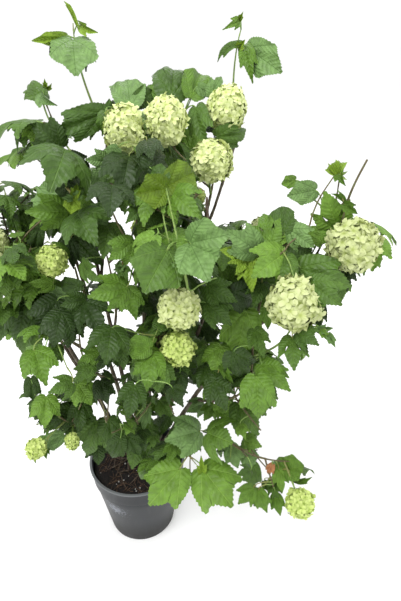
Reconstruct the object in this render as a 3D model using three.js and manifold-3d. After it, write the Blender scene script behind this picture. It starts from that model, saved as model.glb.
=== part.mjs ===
// A snowball viburnum: a shrub of several stems in a plain round plastic pot.
// Millimetres, +Z up. The origin is the middle of the pot's flat underside, and -Y is the front.
// Stems rise from the compost, boughs leave the stems, and each stem or bough ends at a mass of foliage:
// one leading shoot with side shoots, leaves in opposite pairs, and round heads of blossom.
import * as THREE from "three";
import { mergeVertices } from "three/addons/utils/BufferGeometryUtils.js";
import Module from "manifold-3d";

const wasm = await Module();
wasm.setup();

// ---------- driving sizes ----------
const GAP = 0.3; // between pieces that touch
const POT = {
  height: 215,
  footRadius: 82,
  shoulderHeight: 172,
  bodyTopRadius: 107,
  bandRadius: 110,
  rimRadius: 115,
  wall: 2.2,
  floor: 3,
  lip: 4.5,
  sides: 32,
  drainHoles: 4,
  drainRadius: 6,
  drainRing: 60,
};
const SOIL = { top: 196, edgeDrop: 5, flatRadius: 52, sides: 28 };
const STEM = { sides: 6, step: 100, flare: 1.4, flareHeight: 22 };
const SHOOT = {
  internode: 54,
  sideInternode: 42,
  leader: 2.6,
  side: 1.9,
  tip: 1.2,
  band: 2.2,
  apart: 7,
  bend: 80,
};
const LEAF = { stalk: 26, tries: 18, border: 3, clear: 3, gap: 0.225, toFront: 0.45 };
const BLOOM = { bump: 0.05, facets: 1 };

// ---------- stems and boughs ----------
// A stem has a foot on the compost, a bough a parent and the share of the parent's length where it leaves it.
// tip is where it ends, thick its radius at each end, bow how far its middle rises above the straight line,
// as a share of its length.
const LIMBS = {
  stem_left: { foot: [-14, 0], tip: [-104, -72, 620], thick: [5.6, 3.4], bow: 0.03 },
  stem_left_inner: { foot: [2, 12], tip: [-36, -34, 790], thick: [5.0, 3.0], bow: 0.04 },
  stem_centre: { foot: [16, -6], tip: [62, -58, 840], thick: [5.4, 3.0], bow: 0.04 },
  stem_centre_right: { foot: [32, 14], tip: [158, 8, 800], thick: [5.4, 3.0], bow: 0.08 },
  stem_right: { foot: [40, -4], tip: [232, -110, 648], thick: [5.6, 3.2], bow: 0.1 },
  stem_low_right: { foot: [28, -24], tip: [196, -150, 440], thick: [4.4, 2.8], bow: 0.14 },
  stem_back: { foot: [18, 36], tip: [66, 122, 760], thick: [5.4, 3.0], bow: 0.06 },
  stem_back_left: { foot: [-8, 32], tip: [-112, 104, 700], thick: [5.2, 3.0], bow: 0.08 },
  stem_back_right: { foot: [40, 34], tip: [216, 112, 690], thick: [5.2, 3.0], bow: 0.1 },
  bough_left_edge: { parent: "stem_left", at: 0.62, tip: [-158, -34, 690], thick: [3.0, 2.6], bow: -0.1 },
  bough_tall_left: {
    parent: "stem_left_inner",
    at: 0.84,
    tip: [2, 4, 955],
    thick: [2.8, 2.4],
    bow: -0.06,
  },
  bough_top_centre: {
    parent: "stem_centre",
    at: 0.82,
    tip: [104, 14, 900],
    thick: [2.8, 2.4],
    bow: -0.08,
  },
  bough_tall_right: {
    parent: "stem_centre_right",
    at: 0.86,
    tip: [212, 54, 930],
    thick: [2.8, 2.4],
    bow: -0.06,
  },
  bough_centre_front: {
    parent: "stem_centre",
    at: 0.56,
    tip: [104, -118, 735],
    thick: [2.9, 2.4],
    bow: -0.08,
  },
  bough_front_low: {
    parent: "stem_centre",
    at: 0.36,
    tip: [74, -128, 565],
    thick: [2.9, 2.4],
    bow: -0.1,
  },
  bough_mid_left: {
    parent: "stem_left_inner",
    at: 0.42,
    tip: [-44, -104, 556],
    thick: [2.9, 2.4],
    bow: -0.1,
  },
  bough_inner_left: {
    parent: "stem_left_inner",
    at: 0.62,
    tip: [2, -78, 664],
    thick: [2.8, 2.4],
    bow: -0.08,
  },
  bough_far_right: { parent: "stem_right", at: 0.78, tip: [322, -84, 742], thick: [3.0, 2.4], bow: -0.1 },
  bough_right_low: {
    parent: "stem_right",
    at: 0.5,
    tip: [204, -136, 520],
    thick: [2.9, 2.4],
    bow: -0.08,
  },
  bough_lower_left: {
    parent: "stem_left",
    at: 0.26,
    tip: [-98, -88, 400],
    thick: [2.8, 2.4],
    bow: -0.08,
  },
  bough_lower_centre: {
    parent: "stem_centre",
    at: 0.18,
    tip: [28, -86, 396],
    thick: [2.8, 2.4],
    bow: -0.08,
  },
  bough_foot: { parent: "stem_low_right", at: 0.36, tip: [92, -106, 348], thick: [2.6, 2.3], bow: -0.06 },
  bough_back_low: { parent: "stem_back", at: 0.36, tip: [34, 152, 480], thick: [2.8, 2.4], bow: -0.1 },
  bough_back_left_low: {
    parent: "stem_back_left",
    at: 0.46,
    tip: [-128, 44, 520],
    thick: [2.8, 2.4],
    bow: -0.1,
  },
  bough_back_right_low: {
    parent: "stem_back_right",
    at: 0.46,
    tip: [206, 64, 470],
    thick: [2.8, 2.4],
    bow: -0.1,
  },
};

// ---------- masses of foliage ----------
// on is the limb whose tip the mass grows from, tip the top of its leading shoot, reach the length of its
// side shoots, leaf the length of a grown blade, bare the share of the leader below its first pair, blooms
// the heads of blossom, each with its place and diameter, dry the tips of dead twigs, top the sizes of the
// last pairs of leaves on the leading shoot, as shares of a grown one, and gap how far apart leaves stand.
const MASSES = {
  tall_left_shoot: {
    on: "bough_tall_left",
    tip: [-46, 66, 1112],
    reach: 0,
    leaf: 84,
    bare: 0.6,
    top: [0.55, 0.36],
  },
  tall_right_shoot: {
    on: "bough_tall_right",
    tip: [218, 84, 1104],
    reach: 0,
    leaf: 82,
    bare: 0.55,
    top: [0.55, 0.36],
  },
  upper_left: {
    on: "stem_left_inner",
    tip: [-88, -4, 1012],
    reach: 92,
    leaf: 92,
    bare: 0.05,
    top: [0.55, 0.36],
  },
  upper_bloom: {
    on: "stem_centre",
    tip: [-6, 40, 1000],
    reach: 80,
    leaf: 84,
    bare: 0.05,
    blooms: [[39, -50, 973, 66]],
  },
  top_centre: {
    on: "bough_top_centre",
    tip: [98, 34, 1026],
    reach: 92,
    leaf: 88,
    bare: 0,
    top: [0.9, 0.75],
    blooms: [[102, -42, 985, 66]],
  },
  upper_right: {
    on: "stem_centre_right",
    tip: [186, 22, 956],
    reach: 80,
    leaf: 80,
    bare: 0.05,
    blooms: [
      [194, -5, 997, 64],
      [172, -42, 926, 66],
      [150, 44, 843, 38],
    ],
  },
  left_front: {
    on: "stem_left",
    tip: [-126, -112, 838],
    reach: 88,
    leaf: 86,
    bare: 0.05,
    blooms: [[-90, -92, 777, 50]],
  },
  left_edge: {
    on: "bough_left_edge",
    tip: [-184, -20, 884],
    reach: 82,
    leaf: 88,
    bare: 0.05,
    blooms: [[-196, -72, 800, 62]],
  },
  centre_front: {
    on: "bough_centre_front",
    tip: [106, -150, 926],
    reach: 92,
    leaf: 94,
    bare: 0,
    top: [0.7, 0.4],
  },
  mid_left: { on: "bough_mid_left", tip: [-34, -152, 740], reach: 84, leaf: 80, bare: 0 },
  inner_left: { on: "bough_inner_left", tip: [2, -122, 846], reach: 82, leaf: 84, bare: 0 },
  front_low: {
    on: "bough_front_low",
    tip: [84, -198, 704],
    reach: 100,
    leaf: 80,
    bare: 0,
    blooms: [
      [121, -186, 744, 66],
      [118, -200, 681, 54],
    ],
  },
  right: { on: "stem_right", tip: [222, -138, 846], reach: 100, leaf: 90, bare: 0, top: [0.9] },
  far_right: {
    on: "bough_far_right",
    tip: [350, -120, 922],
    reach: 80,
    leaf: 84,
    bare: 0.05,
    top: [0.55, 0.36],
    blooms: [[369, -170, 838, 74]],
    dry: [[374, -147, 952]],
  },
  right_low: {
    on: "bough_right_low",
    tip: [232, -206, 690],
    reach: 104,
    leaf: 78,
    bare: 0,
    top: [0.9],
    blooms: [[282, -229, 778, 74]],
  },
  low_right: {
    on: "stem_low_right",
    tip: [318, -206, 436],
    reach: 58,
    leaf: 62,
    bare: 0.15,
    blooms: [[327, -256, 388, 50]],
  },
  foot_front: { on: "bough_foot", tip: [132, -166, 402], reach: 44, leaf: 98, bare: 0 },
  lower_left: {
    on: "bough_lower_left",
    tip: [-164, -104, 500],
    reach: 72,
    leaf: 74,
    bare: 0,
    blooms: [
      [-93, -144, 418, 34],
      [-158, -164, 421, 38],
    ],
  },
  lower_centre: { on: "bough_lower_centre", tip: [30, -146, 500], reach: 76, leaf: 76, bare: 0 },
  back_top: {
    on: "stem_back",
    tip: [56, 140, 984],
    gap: 0.3,
    reach: 72,
    leaf: 88,
    bare: 0.05,
    blooms: [
      [22, 190, 940, 66],
      [112, 194, 872, 60],
    ],
  },
  back_left: {
    on: "stem_back_left",
    tip: [-132, 116, 924],
    gap: 0.3,
    reach: 72,
    leaf: 88,
    bare: 0.05,
    blooms: [[-160, 154, 862, 66]],
  },
  back_right: {
    on: "stem_back_right",
    tip: [286, 92, 890],
    gap: 0.3,
    reach: 70,
    leaf: 86,
    bare: 0.05,
    blooms: [
      [232, 178, 880, 68],
      [332, 100, 808, 60],
    ],
  },
  back_low: {
    on: "bough_back_low",
    tip: [56, 214, 650],
    gap: 0.3,
    reach: 68,
    leaf: 88,
    bare: 0,
    blooms: [[20, 238, 706, 56]],
  },
  back_left_low: {
    on: "bough_back_left_low",
    tip: [-186, 66, 660],
    gap: 0.3,
    reach: 70,
    leaf: 88,
    bare: 0,
  },
  back_right_low: {
    on: "bough_back_right_low",
    tip: [276, 58, 600],
    gap: 0.3,
    reach: 68,
    leaf: 88,
    bare: 0,
    blooms: [[306, 36, 660, 50]],
  },
};

// ---------- vectors ----------
const add = (a, b) => [a[0] + b[0], a[1] + b[1], a[2] + b[2]];
const sub = (a, b) => [a[0] - b[0], a[1] - b[1], a[2] - b[2]];
const mul = (a, k) => [a[0] * k, a[1] * k, a[2] * k];
const dot = (a, b) => a[0] * b[0] + a[1] * b[1] + a[2] * b[2];
const cross = (a, b) => [a[1] * b[2] - a[2] * b[1], a[2] * b[0] - a[0] * b[2], a[0] * b[1] - a[1] * b[0]];
const long = (a) => Math.sqrt(dot(a, a));
const unit = (a) => mul(a, 1 / long(a));
const mix = (a, b, t) => add(mul(a, 1 - t), mul(b, t));
const squared = (a, way) => unit(sub(a, mul(way, dot(a, way))));
const UP = [0, 0, 1];

// A repeatable run of numbers from 0 to 1 (Park and Miller's rule), one run for each leaf and shoot.
function dice(seed) {
  let state = (seed * 7919) % 2147483647;
  const next = () => {
    state = (state * 16807) % 2147483647;
    return state / 2147483647;
  };
  for (let i = 0; i < 4; i++) next();
  return next;
}

// ---------- curved shoots ----------
// A shoot is a quadratic curve from a to b, drawn towards c.
const at = (s, t) => add(add(mul(s.a, (1 - t) ** 2), mul(s.c, 2 * t * (1 - t))), mul(s.b, t * t));
const along = (s, t) => unit(add(mul(sub(s.c, s.a), 1 - t), mul(sub(s.b, s.c), t)));
const span = (s) => long(sub(s.b, s.a));
const radiusAt = (s, t) => s.thick[0] + (s.thick[1] - s.thick[0]) * t;

// Two directions square to a shoot's own.
function frameOf(way) {
  const side = Math.abs(way[2]) > 0.98 ? [1, 0, 0] : unit(cross(way, UP));
  return [squared(side, way), cross(way, squared(side, way))];
}

// The straight pieces that stand for a shoot where distances are measured.
function rods(s, pieces, r) {
  return Array.from({ length: pieces }, (_, i) => ({ p: at(s, i / pieces), q: at(s, (i + 1) / pieces), r }));
}

function distance(p, { p: a, q: b, r }) {
  const ab = sub(b, a);
  const size = dot(ab, ab);
  const t = size < 1e-9 ? 0 : Math.min(1, Math.max(0, dot(sub(p, a), ab) / size));
  return long(sub(p, add(a, mul(ab, t)))) - r;
}

const nearest = (p, list) => list.reduce((least, item) => Math.min(least, distance(p, item)), Infinity);

// ---------- the limbs' lines ----------
const limbs = {};
for (const [name, spec] of Object.entries(LIMBS)) {
  const a = spec.parent ? at(limbs[spec.parent], spec.at) : [...spec.foot, SOIL.top + GAP];
  const c = add(mix(a, spec.tip, 0.5), mul(UP, spec.bow * long(sub(spec.tip, a))));
  limbs[name] = { name, ...spec, a, b: spec.tip, c };
}
const limbRods = Object.values(limbs).flatMap((s) => rods(s, 6, (s.thick[0] + s.thick[1]) / 2));

// True where a leaf would be in the ground, the compost or the pot's side.
function inPot(p) {
  const radius = Math.hypot(p[0], p[1]);
  const side = POT.footRadius + ((POT.rimRadius - POT.footRadius) * Math.max(0, p[2])) / POT.height;
  const nearSide = p[2] < POT.height + 5 && radius < side + 6 && radius > side - 14;
  return p[2] < 6 || nearSide || (p[2] < SOIL.top + 6 && radius < side);
}

// ---------- the masses' shoots ----------
// Gives the share of a shoot's length nearest to the one wanted that isn't taken yet by another node.
function takeShare(shoot, wanted) {
  const length = span(shoot);
  const apart = SHOOT.apart / length;
  const end = 1 - SHOOT.band / length;
  const free = (t) => t >= apart && t <= end && shoot.taken.every((other) => Math.abs(other - t) >= apart);
  let t = Math.min(end, wanted);
  for (let i = 1; i < 60 && !free(t); i++) {
    const shift = Math.ceil(i / 2) * apart * 0.25;
    t = Math.min(end, wanted) + (i % 2 ? -shift : shift);
  }
  shoot.taken.push(t);
  return t;
}

const newShoot = (a, c, b, thick, more = {}) => ({ a, c, b, thick, nodes: [], taken: [], ...more });

// The leader follows on from its limb's own line.
function leaderOf(spec) {
  const limb = limbs[spec.on];
  const way = along(limb, 1);
  const a = add(limb.b, mul(way, GAP));
  const c = add(a, mul(way, long(sub(spec.tip, a)) * 0.45));
  return newShoot(a, c, spec.tip, [SHOOT.leader, SHOOT.tip]);
}

// The share of the leader's length that is nearest to a place.
function footOf(leader, place) {
  const shares = Array.from({ length: 17 }, (_, i) => 0.1 + i * 0.05);
  const far = (t) => long(sub(at(leader, t), place));
  return shares.reduce((best, t) => (far(t) < far(best) ? t : best));
}

// A shoot that leaves the leader below a bloom's place and ends in the bloom.
function bloomShoot(leader, [x, y, z, size]) {
  const centre = [x, y, z];
  const foot = takeShare(leader, footOf(leader, sub(centre, mul(UP, size * 0.95))));
  const a = at(leader, foot);
  const far = long(sub(centre, a));
  const out = squared(sub(centre, a), along(leader, foot));
  const c = add(a, mul(unit(add(out, mul(along(leader, foot), 0.4))), far * 0.5));
  const b = sub(centre, mul(unit(sub(centre, c)), size * 0.58));
  return newShoot(a, c, b, [SHOOT.side, SHOOT.tip], { foot, centre, size });
}

function dryTwig(leader, tip) {
  const foot = takeShare(leader, footOf(leader, sub(tip, mul(UP, 50))));
  const a = at(leader, foot);
  return newShoot(a, mix(a, tip, 0.5), tip, [SHOOT.side, 0.8], { foot });
}

const masses = Object.entries(MASSES).map(([name, spec], index) => {
  const leader = leaderOf(spec);
  const blooms = (spec.blooms ?? []).map((b) => bloomShoot(leader, b));
  const twigs = (spec.dry ?? []).map((tip) => dryTwig(leader, tip));
  const items = [
    ...rods(leader, 4, SHOOT.side),
    ...twigs.flatMap((s) => rods(s, 1, SHOOT.tip)),
    ...blooms.flatMap((s) => [...rods(s, 2, SHOOT.side), { p: s.centre, q: s.centre, r: s.size / 2 }]),
  ];
  return { name, index, spec, leader, blooms, twigs, sides: [], slots: [], leaves: [], items };
});

// A point is in a mass's own space if it is nearer to that mass than to any other, and clear of every limb.
function inSpace(p, mass) {
  if (inPot(p) || nearest(p, limbRods) < LEAF.clear) return false;
  const own = nearest(p, mass.items);
  return masses.every((m) => m === mass || nearest(p, m.items) > Math.max(own + LEAF.border, LEAF.clear));
}

// The places along a shoot where pairs stand, as shares of its length.
function pairsOf(shoot, internode, bare) {
  const count = Math.max(1, Math.round((span(shoot) * (1 - bare)) / internode));
  return Array.from({ length: count }, (_, k) => bare + ((1 - bare) * (k + 0.5)) / (count + 0.5));
}

const pairWays = (shoot, t, turn) => {
  const [u, v] = frameOf(along(shoot, t));
  const out = add(mul(u, Math.cos(turn)), mul(v, Math.sin(turn)));
  return [out, mul(out, -1)];
};

// A side shoot, if its mass has the room for it.
function sideShoot(mass, t, out, random) {
  const { leader, spec } = mass;
  if (spec.reach === 0 || t > 0.82) return null;
  const a = at(leader, t);
  const way = unit(add(add(out, mul(along(leader, t), 0.45)), mul(UP, 0.15)));
  const full = spec.reach * (1 - 0.35 * t) * (0.8 + 0.4 * random());
  for (const length of [full, full * 0.75, full * 0.5]) {
    const b = add(a, mul(way, length));
    const c = add(mix(a, b, 0.5), mul(UP, -0.06 * length));
    const side = newShoot(a, c, b, [SHOOT.side, SHOOT.tip], { foot: t });
    const free = [0.5, 0.75, 1].every((s) => inSpace(at(side, s), mass));
    const room = (bloom, k) => long(sub(at(side, k), bloom.centre)) - bloom.size / 2;
    const offBlooms = mass.blooms.every((bloom) => [0.4, 0.7, 1].every((k) => room(bloom, k) > 12));
    if (free && offBlooms) return side;
  }
  return null;
}

// The leader's pairs, each a quarter turn from the last: a side shoot where there is room, or else a leaf.
for (const mass of masses) {
  const { leader, spec, index } = mass;
  pairsOf(leader, SHOOT.internode, spec.bare).forEach((wanted, k) => {
    const t = takeShare(leader, wanted);
    const random = dice(9000 + index * 100 + k);
    pairWays(leader, t, index + (k * Math.PI) / 2).forEach((out) => {
      const side = sideShoot(mass, t, out, random);
      if (side) mass.sides.push(side);
      else mass.slots.push({ shoot: leader, t, out, grown: 1 - 0.25 * t, droop: [0.3, 1.1] });
    });
  });
}
for (const mass of masses) mass.items.push(...mass.sides.flatMap((s) => rods(s, 2, SHOOT.tip)));

// ---------- leaves ----------
// One half of the blade's outline from beyond the stalk to the tip, as shares of its length: how far along,
// how far out, and how far below the middle.
const OUTLINE = [
  [0.36, 0.5, 0.06],
  [0.54, 0.27, 0.03],
  [1, 0, 0.1],
];
const HEART = 0.36; // where the blade is thickest, along its length, and how far it rises there
const RISE = 0.03;

// The stalk's end: half its width and its depth, as shares of the blade's length.
const NECK = [0.03, 0.045];

// Points spread over the blade, for telling whether it is clear of other things.
const SPREAD = [
  [0.1, 0.1],
  [0.1, -0.1],
  [0.3, 0],
  [0.3, 0.22],
  [0.3, -0.22],
  [0.52, 0.12],
  [0.52, -0.12],
  [0.38, 0.46],
  [0.38, -0.46],
  [0.74, 0.1],
  [0.74, -0.1],
  [1.0, 0],
];

// A blade's own directions: forward to its tip, across it to its left, and up out of its upper face.
function poseOf({ shoot, t, out }, size, turn, droop, tilt) {
  const root = at(shoot, t);
  const lift = unit(add(add(out, mul(along(shoot, t), 0.35)), mul(UP, 0.25)));
  const flat = unit([lift[0] + 0.01, lift[1] - LEAF.toFront, 0]);
  const heading = add(mul(flat, Math.cos(turn)), mul([-flat[1], flat[0], 0], Math.sin(turn)));
  const forward = add(mul(heading, Math.cos(droop)), mul(UP, -Math.sin(droop)));
  const way = unit(add(lift, mul(heading, 0.5)));
  const base = add(root, mul(way, LEAF.stalk * Math.min(1, size / 80)));
  const up = squared(add(UP, mul(cross(heading, UP), tilt)), forward);
  const across = cross(up, forward);
  const hinge = squared(across, way);
  const rise = cross(way, hinge);
  return { root, way, base, forward, across, up, hinge, rise, size };
}

// True if a blade lies back over its own stalk, or stands askew on it.
const folded = ({ across, up, hinge, rise }) => dot(rise, up) < -0.15 || dot(hinge, across) < 0.6;

const onBlade = (leaf, x, y, drop = 0) =>
  add(leaf.base, mul(add(add(mul(leaf.forward, x), mul(leaf.across, y)), mul(leaf.up, -drop)), leaf.size));

// ---------- skins ----------
// A skin is a closed surface: points, and three-cornered faces wound to face outwards. It grows from a ring
// of three points: shoots, leaves and blooms each take one face of the skin and grow on from its corners.
const newSkin = () => ({ points: [], faces: [] });
const addPoint = (skin, p) => skin.points.push(p) - 1;

function addRing(skin, centre, way, guide, radius) {
  const u = squared(guide, way);
  const v = cross(way, u);
  const spoke = (angle) => add(mul(u, radius * Math.cos(angle)), mul(v, radius * Math.sin(angle)));
  return [0, 1, 2].map((k) => addPoint(skin, add(centre, spoke((2 * Math.PI * k) / 3))));
}

// Joins two rings. Each side has two faces, parted along the diagonal that stands out and not in.
function wall(skin, a, b) {
  for (let k = 0; k < 3; k++) {
    const n = (k + 1) % 3;
    const face = [a[k], a[n], b[n]];
    const outward = dot(faceWay(skin, face), sub(skin.points[b[k]], skin.points[a[k]])) <= 0;
    if (outward) skin.faces.push(face, [a[k], b[n], b[k]]);
    else skin.faces.push([a[k], a[n], b[k]], [a[n], b[n], b[k]]);
  }
}

// A ring's corners taken in the order that twists the wall from another ring the least.
function untwisted(skin, from, ring) {
  const orders = [0, 1, 2].map((s) => [0, 1, 2].map((k) => ring[(k + s) % 3]));
  const way = unit(sub(middle(skin, ring), middle(skin, from)));
  const spoke = (i, all) => squared(sub(skin.points[i], middle(skin, all)), way);
  const fit = (order) => order.reduce((sum, i, k) => sum + dot(spoke(i, ring), spoke(from[k], from)), 0);
  return orders.reduce((best, order) => (fit(order) > fit(best) ? order : best));
}

function middle(skin, ring) {
  const sum = ring.reduce((total, i) => add(total, skin.points[i]), [0, 0, 0]);
  return mul(sum, 1 / ring.length);
}

function faceWay(skin, [i, j, k]) {
  const [a, b, c] = [skin.points[i], skin.points[j], skin.points[k]];
  return unit(cross(sub(b, a), sub(c, a)));
}

// A leaf: the stalk's three lines run to the two ends of the blade's outline and to a keel between them. Over
// and under are fans of faces, from the heart and from the keel.
function growLeaf(skin, ring, leaf) {
  const { base, size, hinge, across, rise, up } = leaf;
  const beside = mul(unit(add(hinge, across)), NECK[0] * size);
  const right = OUTLINE.map(([x, y, drop]) => onBlade(leaf, x, -y, drop));
  const left = OUTLINE.slice(0, -1).map(([x, y, drop]) => onBlade(leaf, x, y, drop));
  const outline = [sub(base, beside), ...right, ...left.reverse(), add(base, beside)];
  const rim = outline.map((p) => addPoint(skin, p));
  const keel = addPoint(skin, sub(base, mul(unit(add(rise, up)), NECK[1] * size)));
  const heart = addPoint(skin, onBlade(leaf, HEART, 0, -RISE));
  const last = rim.length - 1;
  wall(skin, ring, untwisted(skin, ring, [rim[last], rim[0], keel]));
  skin.faces.push([heart, rim[last], rim[0]]);
  for (let i = 0; i < last; i++) skin.faces.push([heart, rim[i], rim[i + 1]], [keel, rim[i + 1], rim[i]]);
}

// A head of blossom: a ball whose points stand in and out, open where its shoot comes in.
function growBloom(skin, ring, { centre, size }) {
  const ball = new THREE.IcosahedronGeometry(size / 2, BLOOM.facets);
  ball.deleteAttribute("normal");
  ball.deleteAttribute("uv");
  const merged = mergeVertices(ball, 1e-3);
  const place = merged.attributes.position;
  const ids = Array.from({ length: place.count }, (_, i) => {
    const bump = 1 + BLOOM.bump * Math.sin(i * 2.4);
    return addPoint(skin, add(centre, mul([place.getX(i), place.getY(i), place.getZ(i)], bump)));
  });
  const back = unit(sub(middle(skin, ring), centre));
  const corners = Array.from(merged.index.array, (i) => ids[i]);
  const faces = Array.from({ length: corners.length / 3 }, (_, f) => corners.slice(3 * f, 3 * f + 3));
  const facing = (face) => dot(faceWay(skin, face), back);
  const mouth = faces.reduce((best, face) => (facing(face) > facing(best) ? face : best));
  skin.faces.push(...faces.filter((face) => face !== mouth));
  wall(skin, ring, untwisted(skin, ring, [...mouth].reverse()));
}

function ringOn(skin, shoot, t, guide) {
  return addRing(skin, at(shoot, t), along(shoot, t), guide, radiusAt(shoot, t));
}

const spokeOf = (skin, ring) => sub(skin.points[ring[0]], middle(skin, ring));

// The way to the first corner of a node's band that best turns a side of the band to each child.
function cornerFor(shoot, { t, children }) {
  const [u, v] = frameOf(along(shoot, t));
  const spoke = (angle) => add(mul(u, Math.cos(angle)), mul(v, Math.sin(angle)));
  const worst = (angle) => {
    const open = [1, 3, 5].map((k) => spoke(angle + (k * Math.PI) / 3));
    return children.reduce((least, { way }) => {
      open.sort((a, b) => dot(a, way) - dot(b, way));
      return Math.min(least, dot(open.pop(), way));
    }, 1);
  };
  const angles = Array.from({ length: 12 }, (_, i) => (i * Math.PI) / 18);
  return spoke(angles.reduce((best, angle) => (worst(angle) > worst(best) ? angle : best)));
}

// A shoot with all it bears, grown on from a ring. At each node a short band goes round the shoot, and each
// of the node's children takes the side of the band that best faces its own way.
function growShoot(skin, ring, shoot) {
  const length = span(shoot);
  let last = ring;
  let reached = 0;
  const step = (t, guide) => {
    const next = untwisted(skin, last, ringOn(skin, shoot, t, guide));
    wall(skin, last, next);
    last = next;
    reached = t;
  };
  const bendTo = (t) => {
    const bends = Math.ceil(((t - reached) * length) / SHOOT.bend) - 1;
    const stride = (t - reached) / (bends + 1);
    for (let i = 0; i < bends; i++) step(reached + stride, spokeOf(skin, last));
  };
  shoot.nodes.sort((a, b) => a.t - b.t);
  for (const node of shoot.nodes) {
    const corner = cornerFor(shoot, node);
    bendTo(node.t - SHOOT.band / length);
    step(node.t - SHOOT.band / length, corner);
    const below = last;
    const above = untwisted(skin, below, ringOn(skin, shoot, node.t + SHOOT.band / length, corner));
    const sides = [0, 1, 2].map((k) => [below[k], above[(k + 1) % 3], above[k]]);
    for (const k of [0, 1, 2]) skin.faces.push([below[k], below[(k + 1) % 3], above[(k + 1) % 3]]);
    const places = node.children.map((child) => {
      sides.sort((a, b) => dot(faceWay(skin, a), child.way) - dot(faceWay(skin, b), child.way));
      return [child, sides.pop()];
    });
    skin.faces.push(...sides);
    for (const [child, side] of places) child.grow(skin, side);
    last = above;
    reached = node.t + SHOOT.band / length;
  }
  const ended = shoot.nodes.length > 0 && (1 - shoot.nodes.at(-1).t) * length < 2 * SHOOT.band;
  if (!ended) {
    bendTo(1);
    step(1, spokeOf(skin, last));
  }
  if (shoot.centre) growBloom(skin, last, shoot);
  else skin.faces.push(last);
}

// ---------- solids ----------
function solidOf(skin) {
  const wanted = new wasm.Mesh({
    numProp: 3,
    vertProperties: new Float32Array(skin.points.flat()),
    triVerts: new Uint32Array(skin.faces.flat()),
  });
  return new wasm.Manifold(wanted);
}

// A leaf or a shoot by itself, closed at its foot, which stands a little way off the shoot that bears it.
function leafAlone(leaf) {
  const skin = newSkin();
  const ring = addRing(skin, add(leaf.root, mul(leaf.way, 4)), leaf.way, leaf.hinge, 1.6);
  skin.faces.push([...ring].reverse());
  growLeaf(skin, ring, leaf);
  return solidOf(skin);
}

function shootAlone(shoot) {
  const share = 5 / span(shoot);
  const stout = { ...shoot, a: at(shoot, share), nodes: [], thick: shoot.thick.map((r) => r + 0.8) };
  const skin = newSkin();
  const ring = addRing(skin, stout.a, along(stout, 0), frameOf(along(stout, 0))[0], stout.thick[0]);
  skin.faces.push([...ring].reverse());
  growShoot(skin, ring, stout);
  return solidOf(skin);
}

// Everything grown so far, with the box round it, so that nothing new runs into it.
const grownSolids = [];

function keep(made) {
  grownSolids.push({ made, box: made.boundingBox() });
}

function touches(made) {
  const box = made.boundingBox();
  const meets = (other, i) => box.min[i] < other.max[i] + 0.5 && box.max[i] > other.min[i] - 0.5;
  const near = (other) => [0, 1, 2].every((i) => meets(other.box, i));
  return grownSolids.some((other) => near(other) && !other.made.intersect(made).isEmpty());
}

for (const limb of Object.values(limbs)) keep(limbSolid(limb, 0.5));
for (const { leader, blooms, twigs } of masses)
  for (const shoot of [leader, ...blooms, ...twigs]) keep(shootAlone(shoot));
for (const mass of masses) {
  mass.sides = mass.sides.filter((side) => {
    const made = shootAlone(side);
    const free = !touches(made);
    if (free) keep(made);
    return free;
  });
}

// Tries a few turns and droops for one leaf, and takes the first that stays in its mass's space.
function leafFor(mass, slot, number) {
  const random = dice(100000 + mass.index * 1000 + number);
  const gap = mass.spec.gap ?? LEAF.gap;
  for (let n = 0; n < LEAF.tries; n++) {
    const size = mass.spec.leaf * slot.grown * (0.82 + 0.3 * random()) * (n > 7 ? 0.8 : 1);
    const turn = (random() - 0.5) * Math.min(2.8, 0.8 + 0.3 * n);
    const droop = slot.droop[0] + (slot.droop[1] - slot.droop[0]) * random();
    const leaf = poseOf(slot, size, turn, droop, (random() - 0.5) * 0.7);
    const points = SPREAD.map(([x, y]) => onBlade(leaf, x, y, 0.04));
    const middleOf = (l) => onBlade(l, 0.45, 0);
    const apart = mass.leaves.every((l) => long(sub(middleOf(l), middleOf(leaf))) > gap * (l.size + size));
    if (folded(leaf) || !apart || !points.every((p) => inSpace(p, mass))) continue;
    if (!touches(leafAlone(leaf))) return leaf;
  }
  return null;
}

for (const mass of masses) {
  const pair = (shoot, wanted, turn, grown, droop) => {
    const t = takeShare(shoot, wanted);
    for (const out of pairWays(shoot, t, turn)) mass.slots.push({ shoot, t, out, grown, droop });
  };
  const [upper, topmost] = mass.spec.top ?? [0.6];
  if (topmost) pair(mass.leader, 1, mass.index + 1.5, topmost, [-1.1, -0.4]);
  pair(mass.leader, topmost ? 1 - 10 / span(mass.leader) : 1, mass.index, upper, [-0.2, 0.6]);
  mass.sides.forEach((side, i) => {
    const places = pairsOf(side, SHOOT.sideInternode, 0.12);
    places.forEach((t, k) => pair(side, t, i * 2 + (k * Math.PI) / 2, 0.95, [0.4, 1.2]));
    pair(side, 1, i * 3 + 1, 0.66, [0.1, 0.9]);
  });
  mass.blooms.forEach((s, i) => {
    pair(s, 0.5, i + 1, 0.8, [0.5, 1.2]);
    if (span(s) > 60) pair(s, 0.15, i + 2.5, 0.85, [0.5, 1.2]);
  });
}

// The masses take turns, one slot each, so that none takes all the room at a border.
const rounds = Math.max(...masses.map((mass) => mass.slots.length));
for (let i = 0; i < rounds; i++)
  for (const mass of masses) {
    const slot = mass.slots[i];
    const leaf = slot && leafFor(mass, slot, i);
    if (!leaf) continue;
    keep(leafAlone(leaf));
    mass.leaves.push({ ...leaf, slot });
  }

// ---------- putting a mass together ----------
function addChild(shoot, t, child) {
  const node = shoot.nodes.find((n) => n.t === t);
  if (node) node.children.push(child);
  else shoot.nodes.push({ t, children: [child] });
}

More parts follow.
